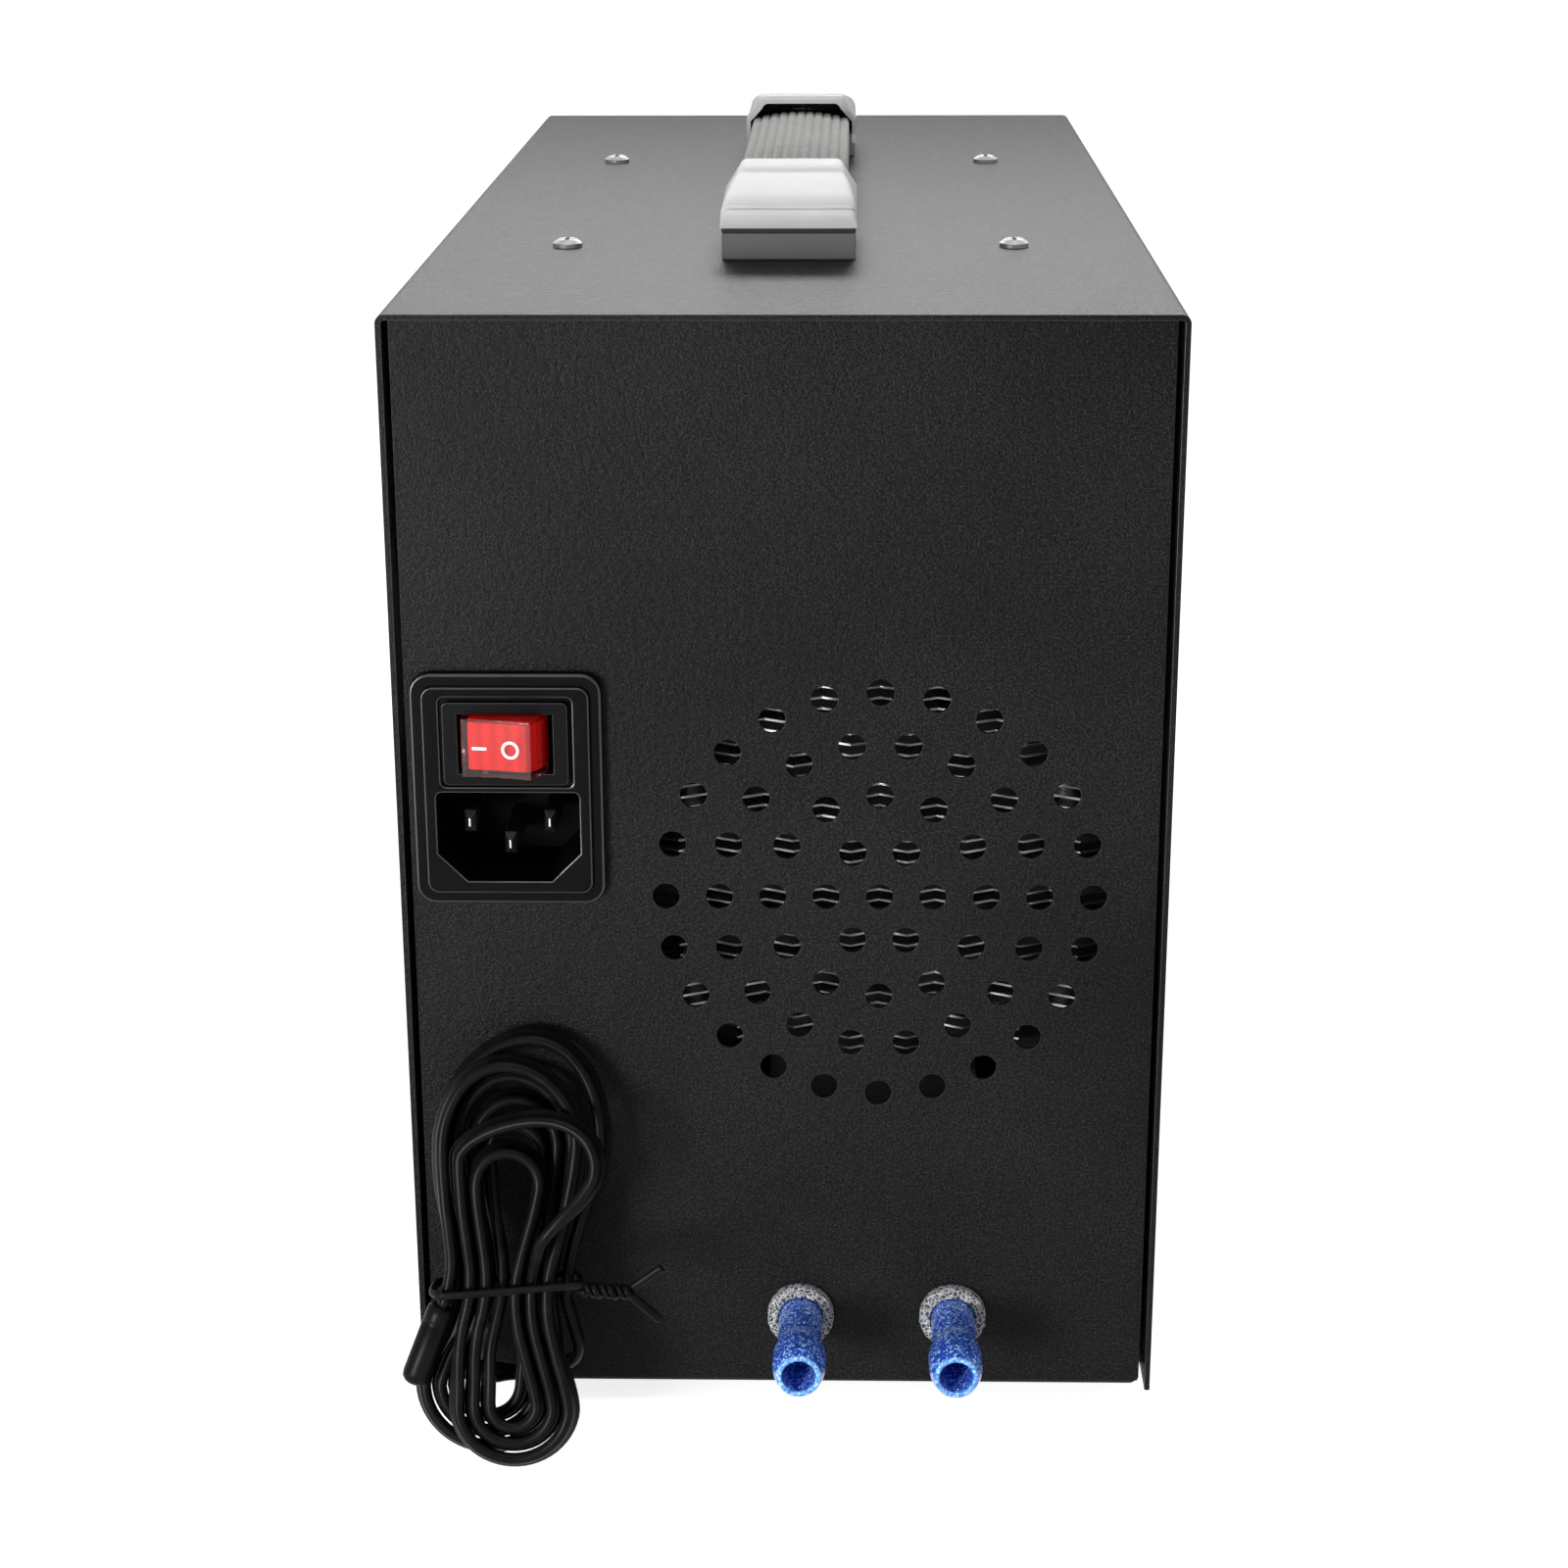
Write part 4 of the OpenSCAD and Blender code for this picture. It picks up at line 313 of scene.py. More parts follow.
PAINT = powder_coat()
# The two edge finishes are several times lighter than the paint and moulding they round: painted highlights.
PAINT_EDGE_HIGHLIGHT = edge_highlight_finish("paint_edge_highlight", (0.02, 0.02, 0.021), 0.34, 0.45)
MOULDED_EDGE_HIGHLIGHT = edge_highlight_finish("moulded_edge_highlight", (0.007, 0.007, 0.0073), 0.28, 0.45)
INLET_BLACK = moulded("inlet_black", (0.002, 0.002, 0.0021), roughness=0.5, Specular_IOR_Level=0.03)
SWITCH_BLACK = moulded("switch_black", (0.002, 0.002, 0.0021), roughness=0.38, Specular_IOR_Level=0.05)
RECESS_SHADE = moulded("recess_painted_shade", (0.0012, 0.0012, 0.0012), roughness=0.6, Specular_IOR_Level=0.03)
PIN_SHADE = metal("pin_painted_shade", (0.06, 0.06, 0.062), roughness=0.4)
FAN_BLACK = moulded("fan_black", (0.02, 0.02, 0.021), roughness=0.5)
LINER_BLACK = moulded("liner_black", (0.012, 0.012, 0.012), roughness=0.55)
RUBBER = moulded("foot_rubber", (0.016, 0.016, 0.016), roughness=0.8, grain=1500, relief=0.3)
BLUE = glitter_blue()
LIP = pale_lip()
FOAM = open_foam()
JACKET = soft_foam()
LEAD = lead_plastic()
ZINC = metal("bright_zinc", (0.72, 0.72, 0.73), roughness=0.24)
BLACK_SCREW = metal("black_screw", (0.03, 0.03, 0.032), roughness=0.4)
ALUMINIUM = metal("mill_aluminium", (0.8, 0.81, 0.82), roughness=0.3, brushed=(200, 5000, 5000))
FOLDED_ZINC = metal("folded_zinc", (0.62, 0.64, 0.66), roughness=0.38, brushed=(400, 400, 400))
BRASS = metal("plain_brass", (0.78, 0.62, 0.3), roughness=0.28)
NICKEL = metal("bright_nickel", (0.5, 0.49, 0.47), roughness=0.22)
# Far darker than bare plating: painted shade on the heat pipes inside the case.
PLATED_SHADED = metal("plated_pipe_painted_shade", (0.14, 0.14, 0.145), roughness=0.42)
DULL_ZINC = metal("dull_zinc", (0.36, 0.36, 0.37), roughness=0.42)
SILVER = silver_paint()
STRAP = strap_weave()
CLEAR = clear_block()
WINDOW = smoked_window()
CERAMIC = moulded("white_ceramic", (0.75, 0.75, 0.7), roughness=0.5)
CONTROL_BOARD = solder_mask("green_board", (0.012, 0.075, 0.03))
POWER_BOARD = solder_mask("tan_board", (0.16, 0.11, 0.04))
DIGITS = moulded("digit_housing", (0.03, 0.03, 0.033), roughness=0.35)
BUTTON = moulded("button_silver", (0.5, 0.5, 0.52), roughness=0.3, Metallic=0.6)
WIRES = moulded("wire_insulation", (0.3, 0.02, 0.015), roughness=0.4)
SHELL = rocker_shell()
# The side copy is darker than the front one, a painted shade, and both glow faintly, a painted glow.
CORE = rocker_core("rocker_core", (0.72, 0.03, 0.02), (0.4, 0.004, 0.004), 0.3)
CORE_SHADED = rocker_core("rocker_core_painted_shade", (0.42, 0.006, 0.006), (0.24, 0.003, 0.003), 0.16)
GLOW = digit_glow()
MARK = moulded("mark_white", (0.85, 0.85, 0.85), roughness=0.5, relief=0.05)

NODES_BY_FINISH = [
    (PAINT, "cover chassis"),
    (RUBBER, "rubber_feet cable_grommet"),
    (INLET_BLACK, "inlet_housing display_bezel"),
    (NICKEL, "inlet_pins"),
    (SWITCH_BLACK, "switch_body"),
    (SHELL, "switch_rocker"),
    (BLUE, "left_water_tube right_water_tube"),
    (FOAM, "left_foam_collar right_foam_collar"),
    (JACKET, "block_insulation"),
    (LEAD, "probe_lead probe_hank twist_tie probe"),
    (SILVER, "rear_handle_cap front_handle_cap"),
    (CLEAR, "rear_handle_block front_handle_block"),
    (LINER_BLACK, "handle_liners"),
    (STRAP, "strap_sleeve"),
    (ZINC, "foot_screws clamp_bars clamp_posts clamp_screws fan_clips strap_band handle_screws handle_nuts"),
    (DULL_ZINC, "psu_screws"),
    (BLACK_SCREW, "cover_screws"),
    (FOLDED_ZINC, "psu_case psu_cover"),
    (BRASS, "switch_terminals psu_spacers"),
    (ALUMINIUM, "water_block rear_heatsink_base front_heatsink_base rear_fins front_fins"),
    (PLATED_SHADED, "rear_heat_pipes front_heat_pipes"),
    (CERAMIC, "rear_tec front_tec"),
    (FAN_BLACK, "rear_fan_frame front_fan_frame rear_fan_rotor front_fan_rotor psu_terminals"),
    (POWER_BOARD, "psu_board"),
    (CONTROL_BOARD, "control_board"),
    (WINDOW, "display_window"),
    (DIGITS, "display_module"),
    (BUTTON, "left_button middle_button right_button"),
    (WIRES, "wiring_harness"),
]
NODE_FINISHES = {node: material for material, nodes in NODES_BY_FINISH for node in nodes.split()}


def finish_nodes():
    for node, material in NODE_FINISHES.items():
        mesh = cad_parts[node].data
        if mesh.materials:
            for slot in range(len(mesh.materials)):
                mesh.materials[slot] = material
        else:
            mesh.materials.append(material)


finish_nodes()


# Pieces
# Points this near become one, in a node and in a spun piece, and an edge this flat is dissolved
NODE_MERGE, SPUN_MERGE, FLAT_EDGE = 1e-6, 1e-7, math.radians(0.8)


def piece_from(name, bm, material, body="base", smooth=180):
    """A riding piece, shaded smooth across edges up to that many degrees."""
    mesh = bpy.data.meshes.new(name)
    bm.to_mesh(mesh)
    bm.free()
    mesh.materials.append(material)
    mesh.shade_smooth()
    if smooth < 180:
        mesh.set_sharp_from_angle(angle=math.radians(smooth))
    piece = bpy.data.objects.new(name, mesh)
    bpy.context.scene.collection.objects.link(piece)
    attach(piece, body)
    return piece


def merged_copy(node):
    bm = bmesh.new()
    bm.from_mesh(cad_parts[node].data)
    bmesh.ops.remove_doubles(bm, verts=bm.verts, dist=NODE_MERGE)
    bmesh.ops.dissolve_limit(bm, angle_limit=FLAT_EDGE, verts=bm.verts, edges=bm.edges)
    return bm


def rounded_edges(piece, width, segments=3, angle=28, finish=None):
    edge = piece.modifiers.new("rounded_edges", "BEVEL")
    # A given finish goes on the rounded edges; the lighter edge finishes make a painted highlight there.
    if finish is not None:
        piece.data.materials.append(finish)
        edge.material = 1
    edge.width = width * MM
    edge.segments = segments
    edge.limit_method = "ANGLE"
    edge.angle_limit = math.radians(angle)
    edge.harden_normals = True
    edge.use_clamp_overlap = True


def eased_node(node, width, segments=3, angle=28, body="base", finish=None):
    """The node's own shape with its edges rounded, as folding and moulding leave them."""
    piece = piece_from(node + "_eased", merged_copy(node), NODE_FINISHES[node], body, smooth=30)
    rounded_edges(piece, width, segments, angle, finish)
    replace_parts(piece, node)
    return piece


def box_in(bm, size, centre):
    """A box in a bmesh, and its corners."""
    corners = bmesh.ops.create_cube(bm, size=1.0)["verts"]
    bmesh.ops.scale(bm, vec=[side * MM for side in size], verts=corners)
    bmesh.ops.translate(bm, vec=[at * MM for at in centre], verts=corners)
    return corners


def bevelled(bm, edges, width, segments=1):
    bmesh.ops.bevel(bm, geom=list(edges), offset=width * MM, segments=segments, affect="EDGES", profile=0.5,
                    material=-1)


def skin(bm, rings, finishes=()):
    """A band of faces from each ring to the next one, with a finish number for each band."""
    for k, (near, far) in enumerate(zip(rings, rings[1:])):
        for a, b, c, d in zip(near, near[1:] + near[:1], far[1:] + far[:1], far):
            bm.faces.new((a, b, c, d)).material_index = finishes[k] if k < len(finishes) else 0


def spun(name, outline, place, material, body="base", steps=48):
    """A turned piece: (radius, height) pairs spun about the local Z axis, then put in its place."""
    bm = bmesh.new()
    verts = [bm.verts.new((r * MM, 0, h * MM)) for r, h in outline]
    edges = [bm.edges.new(pair) for pair in zip(verts, verts[1:])]
    bmesh.ops.spin(bm, geom=verts + edges, cent=(0, 0, 0), axis=(0, 0, 1), angle=2 * math.pi, steps=steps,
                   use_merge=True)
    bmesh.ops.remove_doubles(bm, verts=bm.verts, dist=SPUN_MERGE)
    bmesh.ops.recalc_face_normals(bm, faces=bm.faces)
    bmesh.ops.transform(bm, matrix=place, verts=bm.verts)
    return piece_from(name, bm, material, body)


def on_circle(radius, degrees):
    turn = math.radians(degrees)
    return radius * math.cos(turn), radius * math.sin(turn)


def smooth_step(s):
    s = min(1.0, max(0.0, s))
    return s * s * (3 - 2 * s)


def direction_at(route, i):
    return (route[min(len(route) - 1, i + 1)] - route[max(0, i - 1)]).normalized()


# Probe lead
CABLE_WIDE, CABLE_THIN, CABLE_STEP, CORE_ARC, CORE_POINTS = 4.2, 2.1, 1.1, 250, 10
LEAD_START = Vector((-60, -141, 14))
LEAD_ROUTE = [
    (-60, -143.1, 14), (-60, -146, 14), (-59.6, -148.6, 14), (-58.4, -150.8, 14), (-56.2, -152.2, 14),
    (-53, -152.6, 14), (-49.8, -152.6, 14), (-46.6, -152.6, 14.1), (-43.4, -152.6, 14.6),
    (-40.3, -152.9, 15.8), (-37.9, -153.8, 17.7), (-36.9, -154.9, 20.2), (-37, -155.5, 22.8),
    (-37.9, -155, 26.6),
]
# From this point of its route the lead's flat side turns to the hank's, over as many points
LEAD_TURN = 4
HANK_FOOT = Vector((-51, -162.5, 0))
HANK_TILT, HANK_LEAN, PROBE_LEAN = math.radians(15), math.radians(3), math.radians(18)
START_V, WAIST_V, LOW_V, BULGE_V = 34, 34, 14.5, 42
INNER_REACH, TURN_STEP, LAYER = 4.5, 2.8, 5
WAIST_IN, WAIST_REACH = 3.9, 14
FLARE, FLARE_TURN, TAIL = 1.2, 0.09, 2.1
# A turn of the hank in rings: up its right side, over the top, down its left side, round the foot, up again
TURN_RINGS, UP_RINGS, TOP_RINGS, DOWN_RINGS, LOW_RINGS, LAST_RINGS = 24, 3, 8, 4, 7, 2
MID_TURN, END_TURN, CLIMB_TURN = 3 + 13 / TURN_RINGS, 6 + 13.4 / TURN_RINGS, 2 / TURN_RINGS
POINTS_A_RING = 2
# Each upper fold: base height, rise, bulge to right and left, apex shift, tilt, depth at right and left
UPPER_FOLDS = [
    (59.0, 19.4, 1.6, 0.0, 1.5, 0.0, 0.0, 0.0),
    (58.0, 13.6, -0.4, 0.2, -0.5, 0.0, 0.0, 0.0),
    (58.5, 9.0, -0.3, 0.1, 0.4, 0.0, 0.0, 0.0),
    (58.0, 5.0, -0.1, 0.1, -0.3, 0.0, 0.0, 0.0),
    (51.5, 7.4, 0.1, 0.2, -0.6, 0.0, 0.3, 0.0),
    (56.5, 8.6, 6.9, 0.1, 0.0, 1.0, -4.8, -0.3),
    (59.0, 15.2, 0.1, 0.3, -1.4, 0.0, 0.6, -0.2),
]
DEPTH_V, DEPTH_RUN = 37, 9
# Below the waist the back layer hangs to the left and higher, the front layer to the right and lower
LOW_SHIFT, LOW_RISE, LOW_DROP, LOW_RUN = 2.2, 1.8, 0.5, 16
# At the waist the cable lies flat against its neighbour; towards the folds its flat side turns outward
FLAT_REACH, FOLD_TURN, FOLD_RUN, FIRST_FOLDED = 6, math.radians(26), 14, 41

HANK_PLACE = (Matrix.Translation(HANK_FOOT * MM) @ Matrix.Rotation(-HANK_TILT, 4, "X")
              @ Matrix.Rotation(HANK_LEAN, 4, "Y") @ Matrix.Scale(MM, 4))
PROBE_WAY = Vector((-math.sin(PROBE_LEAN), 0, -math.cos(PROBE_LEAN)))


def hank_way(way):
    """A direction of the hank's own frame, as a unit vector of the scene."""
    return (HANK_PLACE.to_3x3() @ Vector(way)).normalized()


def hank_reach(t):
    return INNER_REACH + TURN_STEP * abs(t - MID_TURN)


def hank_point(t):
    """A point of the hank in its own frame, its upper folds as loose as the photograph shows them."""
    ring = (t - math.floor(t)) * TURN_RINGS
    down_at = UP_RINGS + TOP_RINGS
    low_at = down_at + DOWN_RINGS
    last_at = TURN_RINGS - LAST_RINGS
    fold = UPPER_FOLDS[min(len(UPPER_FOLDS) - 1, int(math.floor(t)))]
    base, rise, right, left, shift, tilt, right_fore, left_fore = fold
    reach = hank_reach(t)
    bulge = fore = 0.0
    side = 1.0
    if ring < UP_RINGS:
        high, bulge, fore = START_V + (base - START_V) * ring / UP_RINGS, right, right_fore
    elif ring < down_at:
        turn = math.pi * (ring - UP_RINGS) / TOP_RINGS
        high = base + rise * math.sin(turn) + tilt * math.sin(2 * turn)
        side, fore = math.cos(turn), right_fore + (left_fore - right_fore) * (1 - math.cos(turn)) / 2
    elif ring < low_at:
        high = base + (LOW_V - base) * (ring - down_at) / DOWN_RINGS
        side, bulge, fore = -1.0, left, left_fore
    elif ring < last_at:
        turn = math.pi * (ring - low_at) / LOW_RINGS
        high, side = LOW_V - reach * math.sin(turn), -math.cos(turn)
    else:
        high = LOW_V + (START_V - LOW_V) * (ring - last_at) / LAST_RINGS
    pull = WAIST_IN * math.exp(-((high - WAIST_V) / WAIST_REACH) ** 2)
    flare = FLARE * max(0.0, (t - END_TURN) / FLARE_TURN + 1) ** 4
    climb = smooth_step((t - MID_TURN) / (2 * CLIMB_TURN) + 0.5)
    if UP_RINGS <= ring < down_at:
        out = (right - left) / 2 + side * (reach - pull + (right + left) / 2) + shift * math.sin(turn) ** 2
    else:
        out = side * (reach - pull + flare + bulge * smooth_step((high - BULGE_V) / (base - BULGE_V)))
    low = smooth_step((WAIST_V - FLAT_REACH - high) / LOW_RUN)
    out += LOW_SHIFT * (2 * climb - 1) * low
    high += (LOW_RISE * (1 - climb) - LOW_DROP * climb) * low
    depth = -LAYER * climb + fore * smooth_step((high - DEPTH_V) / DEPTH_RUN)
    return Vector((out, depth, high))


def twin_outline():
    """Two round cores side by side, joined by a thin web."""
    core = CABLE_THIN / 2
    outline = []
    for side in (1, -1):
        for k in range(CORE_POINTS):
            x, y = on_circle(core, CORE_ARC * k / (CORE_POINTS - 1) - CORE_ARC / 2)
            outline.append((side * (core + x), side * y))
    return outline


def tube_along(name, route, wides, outline):
    """A tube in the lead's plastic whose outline's first direction follows the given wide directions."""
    bm = bmesh.new()
    rings = []
    for i, at in enumerate(route):
        along = direction_at(route, i)
        across = (wides[i] - wides[i].dot(along) * along).normalized()
        normal = across.cross(along)
        rings.append([bm.verts.new(at + a * MM * across + b * MM * normal) for a, b in outline])
    skin(bm, rings)
    for ring in (rings[0], rings[-1]):
        bm.faces.new(ring)
    bmesh.ops.recalc_face_normals(bm, faces=bm.faces)
    return piece_from(name, bm, LEAD)


def spaced(route, wides, step):
    """The same route with points a step apart, smoothed between the given ones."""
    lengths = [0.0]
    for a, b in zip(route, route[1:]):
        lengths.append(lengths[-1] + (b - a).length)
    count = max(2, round(lengths[-1] / (step * MM)))
    points, sides = [], []
    k = 0
    for i in range(count + 1):
        along = lengths[-1] * i / count
        while k < len(route) - 2 and lengths[k + 1] < along:
            k += 1
        s = (along - lengths[k]) / max(1e-9, lengths[k + 1] - lengths[k])
        before, a, b, after = route[max(0, k - 1)], route[k], route[k + 1], route[min(len(route) - 1, k + 2)]
        points.append(0.5 * (2 * a + (b - before) * s + (2 * before - 5 * a + 4 * b - after) * s * s
                             + (3 * a - before - 3 * b + after) * s ** 3))
        sides.append(wides[k].lerp(wides[k + 1], s).normalized())
    return points, sides


def lead_and_hank():
    """One unbroken cable from the panel to the probe; also its middle line and its length."""
    back_wide, out_wide, across = hank_way((0, 1, 0)), hank_way((0, 0, 1)), hank_way((1, 0, 0))
    lead = [LEAD_START * MM] + [Vector(p) * MM for p in LEAD_ROUTE]
    wides = [Vector((0, 0, 1)).lerp(back_wide, smooth_step((i - LEAD_TURN) / LEAD_TURN)).normalized()
             for i in range(len(lead))]
    count = int(END_TURN * TURN_RINGS * POINTS_A_RING)
    hank = [HANK_PLACE @ hank_point(END_TURN * i / count) for i in range(count + 1)]
    hank.append(HANK_PLACE @ (hank_point(END_TURN) + TAIL * PROBE_WAY))
    join = hank[0] - CABLE_THIN * MM * (hank[1] - hank[0]).normalized()
    route = lead + [join] + hank
    wides += [back_wide] * (len(route) - len(wides))
    points, sides = spaced(route, wides, CABLE_STEP)
    for i, point in enumerate(points):
        local = HANK_PLACE.inverted() @ point
        turn = FOLD_TURN * smooth_step((abs(local.z - WAIST_V) - FLAT_REACH) / FOLD_RUN)
        if turn > 0 and i >= FIRST_FOLDED:
            outward = back_wide.cross(direction_at(points, i)).normalized()
            away = out_wide * (1 if local.z > WAIST_V else -1) + across * (1 if local.x > 0 else -1)
            if outward.dot(away) < 0:
                outward = -outward
            sides[i] = (back_wide * math.cos(turn) + outward * math.sin(turn)).normalized()
    cable = tube_along("probe_cable", points, sides, twin_outline())
    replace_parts(cable, "probe_lead", "probe_hank")
    return cable, points, sum((b - a).length for a, b in zip(points, points[1:]))


# Radius and height: a rounded base, a groove near it, and a rounded end
CAPSULE_OUTLINE = [(0, 0), (1.5, 0), (2.1, 0.15), (2.4, 0.6), (2.5, 1.4), (2.5, 3.2), (2.38, 3.5), (2.5, 3.8),
                   (2.5, 13), (2.3, 14.1), (1.7, 14.75), (1.2, 15), (0, 15)]


def probe_capsule():
    end = HANK_PLACE @ (hank_point(END_TURN) + TAIL * PROBE_WAY)
    place = Matrix.Translation(end) @ hank_way(PROBE_WAY).to_track_quat("Z", "Y").to_matrix().to_4x4()
    capsule = spun("probe_tip", CAPSULE_OUTLINE, place, LEAD)
    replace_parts(capsule, "probe")
    return capsule


TIE_WIRE, TIE_CORNER, CORNER_STEPS, TIE_CLEAR, TIE_RISE, TIE_STEP = 1.3, 3.0, 3, 0.7, 1.2, 0.4
TIE_HALF_WIDE, TIE_HALF_THIN = 0.78, 0.5
TWISTS, TWIST_RUN, TWIST_POINTS, TWIST_CLEAR = 3, 8.5, 24, 0.15
TAIL_OUT, TAIL_APART = 5, 1.7


def tie_route():
    """Round the waist, then both ends twisted together at the front right."""
    half_w = hank_reach(0) - WAIST_IN + CABLE_THIN / 2 + TIE_CLEAR + TIE_WIRE / 2
    half_d = (LAYER + CABLE_WIDE) / 2 + TIE_CLEAR + TIE_WIRE / 2
    middle, strand, level = -LAYER / 2, TIE_WIRE / 2 + TWIST_CLEAR, WAIST_V + TIE_RISE
    front = middle - half_d
    far = half_w + TIE_WIRE + TWIST_RUN

    def twisted(phase):
        points = []
        for k in range(TWIST_POINTS + 1):
            s = k / TWIST_POINTS
            y, z = on_circle(strand, phase + 360 * TWISTS * s)
            points.append(Vector((half_w + TIE_WIRE + TWIST_RUN * s, front + TIE_WIRE + y, level + z)))
        return points

    def corner(side, end, start):
        points = []
        for k in range(CORNER_STEPS + 1):
            x, y = on_circle(TIE_CORNER, start - 90 * k / CORNER_STEPS)
            points.append(Vector((side * (half_w - TIE_CORNER) + x, middle + end * (half_d - TIE_CORNER) + y,
                                  WAIST_V + TIE_RISE * side)))
        return points

    route = [Vector((far + TAIL_OUT, front + TIE_WIRE - TAIL_APART, level + TAIL_OUT))]
    route += reversed(twisted(90))
    route += [Vector((half_w, front + TIE_WIRE / 4, level + strand)),
              Vector((half_w - TIE_CORNER, front, level + strand / 2))]
    route += corner(-1, -1, 270) + corner(-1, 1, 180) + corner(1, 1, 90)
    route += [Vector((half_w, middle - half_d / 4, level - strand / 2)),
              Vector((half_w, front + 2 * TIE_WIRE, level - strand))]
    route += twisted(270)
    route.append(Vector((far + TAIL_OUT, front + TIE_WIRE + TAIL_APART, level - TAIL_OUT)))
    return [HANK_PLACE @ p for p in route]


def twist_tie():
    route = tie_route()
    wide = Vector((0, 0, 1))
    points, _ = spaced(route, [wide] * len(route), TIE_STEP)
    wides = []
    for i in range(len(points)):
        along = direction_at(points, i)
        wide = (wide - wide.dot(along) * along).normalized()
        wides.append(wide)
    circle = [on_circle(1, degrees) for degrees in range(0, 360, 30)]
    outline = [(TIE_HALF_WIDE * x, TIE_HALF_THIN * y) for x, y in circle]
    wire = tube_along("tie_wire", points, wides, outline)
    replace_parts(wire, "twist_tie")
    return wire


cable, cable_path, cable_length = lead_and_hank()
probe = probe_capsule()
tie = twist_tie()


# Case
PANEL_TOP, PANEL_RISE = 201.9, 0.74


def close_panel_tops(chassis):
    """Both panels reach closer to the cover, so that no light shows through the gap."""
    for vert in chassis.data.vertices:
        if vert.co.z > PANEL_TOP * MM:
            vert.co.z += PANEL_RISE * MM


# Where an edge finish is given, the rounded edges are lighter than the faces: a painted highlight.
eased_node("cover", 0.35, angle=40, finish=PAINT_EDGE_HIGHLIGHT)
close_panel_tops(eased_node("chassis", 0.14, segments=2, angle=50, finish=PAINT_EDGE_HIGHLIGHT))
eased_node("switch_body", 0.25, finish=MOULDED_EDGE_HIGHLIGHT)
eased_node("rear_handle_block", 0.35)
eased_node("front_handle_block", 0.35)
eased_node("handle_liners", 0.2)
eased_node("display_bezel", 0.4, finish=MOULDED_EDGE_HIGHLIGHT)
eased_node("psu_screws", 0.15, angle=35)


# Handle
REAR_NOSE, FRONT_NOSE = -83, 103
CAP_HALF, CAP_WALL, CAP_FOOT, CAP_TAB, TAB_RUN = 12.5, 0.9, 209.9, -2.2, 31
CAP_SHOULDER, SHOULDER_FROM, SHOULDER_STEPS, ROOF_STEPS, SIDE_SHARE = 1.5, 15, 4, 4, 0.4
CREASE_RUN, CREASE_SPREAD, CREASE_WANDER, CREASE_SCALE = 1.5, 0.6, 0.35, 0.7
# The cap from its nose to its mouth: run, roof above the foot, lean of its sides
CAP_STATIONS = [
    (0.0, 2.2, 0.5), (0.2, 2.75, 0.25), (0.6, 3.15, 0.1), (1.05, 3.3, 0.0), (1.25, 2.4, 0.0),
    (1.7, 2.45, 0.0), (2.0, 3.8, 0.05), (2.7, 4.25, 0.1), (8, 5.4, 0.4), (14, 6.35, 0.9), (19.6, 7.1, 1.5),
    (20.2, 6.9, 1.5),
    (23.5, 7.4, 1.9), (24.3, 7.85, 2.0), (29, 8.25, 2.3), (31, 8.35, 2.4), (34.4, 8.4, 2.5), (35.4, 8.2, 2.5),
    (36, 7.6, 2.6),
]
NOSE_STATIONS = 7


def cap_section(roof, lean, low, wall=0.0):
    """Over the cap from one foot to the other, at a depth inside its skin."""
    half, crown = CAP_HALF - wall, roof - wall
    r = min(CAP_SHOULDER, crown / 2)
    side = [(half, low), (half, crown * SIDE_SHARE)]
    for k in range(SHOULDER_STEPS + 1):
        x, z = on_circle(r, SHOULDER_FROM + (90 - SHOULDER_FROM) * k / SHOULDER_STEPS)
        side.append((half - lean - r + x, crown - r + z))
    across = [(side[-1][0] * (1 - k / ROOF_STEPS), crown) for k in range(1, 2 * ROOF_STEPS)]
    return side + across + [(-x, z) for x, z in reversed(side)]


def cap_ring(bm, run, outline, nose, way):
    """A ring of the cap; near its crease it wanders a little, as the real one does."""
    wander = CREASE_WANDER * math.exp(-((run - CREASE_RUN) / CREASE_SPREAD) ** 2)
    ring = []
    for x, z in outline:
        along = nose + way * (run + wander * noise.noise((x * CREASE_SCALE, 0.5, nose)))
        ring.append(bm.verts.new((x * MM, along * MM, (CAP_FOOT + z) * MM)))
    return ring


def tube_like(bm, rings):
    skin(bm, rings)
    bm.faces.new(rings[0])
    bm.faces.new(rings[-1])


def handle_cap(node, nose, way):
    """A solid nose, then a hollow shell whose sides reach down beside the block at its mouth."""
    bm = bmesh.new()
    tube_like(bm, [cap_ring(bm, run, cap_section(roof, lean, 0), nose, way)
                   for run, roof, lean in CAP_STATIONS[:NOSE_STATIONS]])
    shell = []
    for run, roof, lean in CAP_STATIONS[NOSE_STATIONS - 1:]:
        for low in ([0, CAP_TAB] if run == TAB_RUN else [CAP_TAB if run > TAB_RUN else 0]):
            outline = cap_section(roof, lean, low) + list(reversed(cap_section(roof, lean, low, CAP_WALL)))
            shell.append(cap_ring(bm, run, outline, nose, way))
    tube_like(bm, shell)
    bmesh.ops.recalc_face_normals(bm, faces=bm.faces)
    inside = {vert for ring in shell for vert in ring[len(ring) // 2:]}
    for face in bm.faces:
        if all(vert in inside for vert in face.verts):
            face.material_index = 1
    cap = piece_from(node + "_drawn", bm, SILVER, smooth=38)
    cap.data.materials.append(LINER_BLACK)
    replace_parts(cap, node)


SLEEVE_TOP, SLEEVE_DROP, SLEEVE_SPAN, RIB_FLOOR, RIB_EDGE, RIB_SHARE = 214.7, 1.35, 10, 212.3, 10.8, 0.6


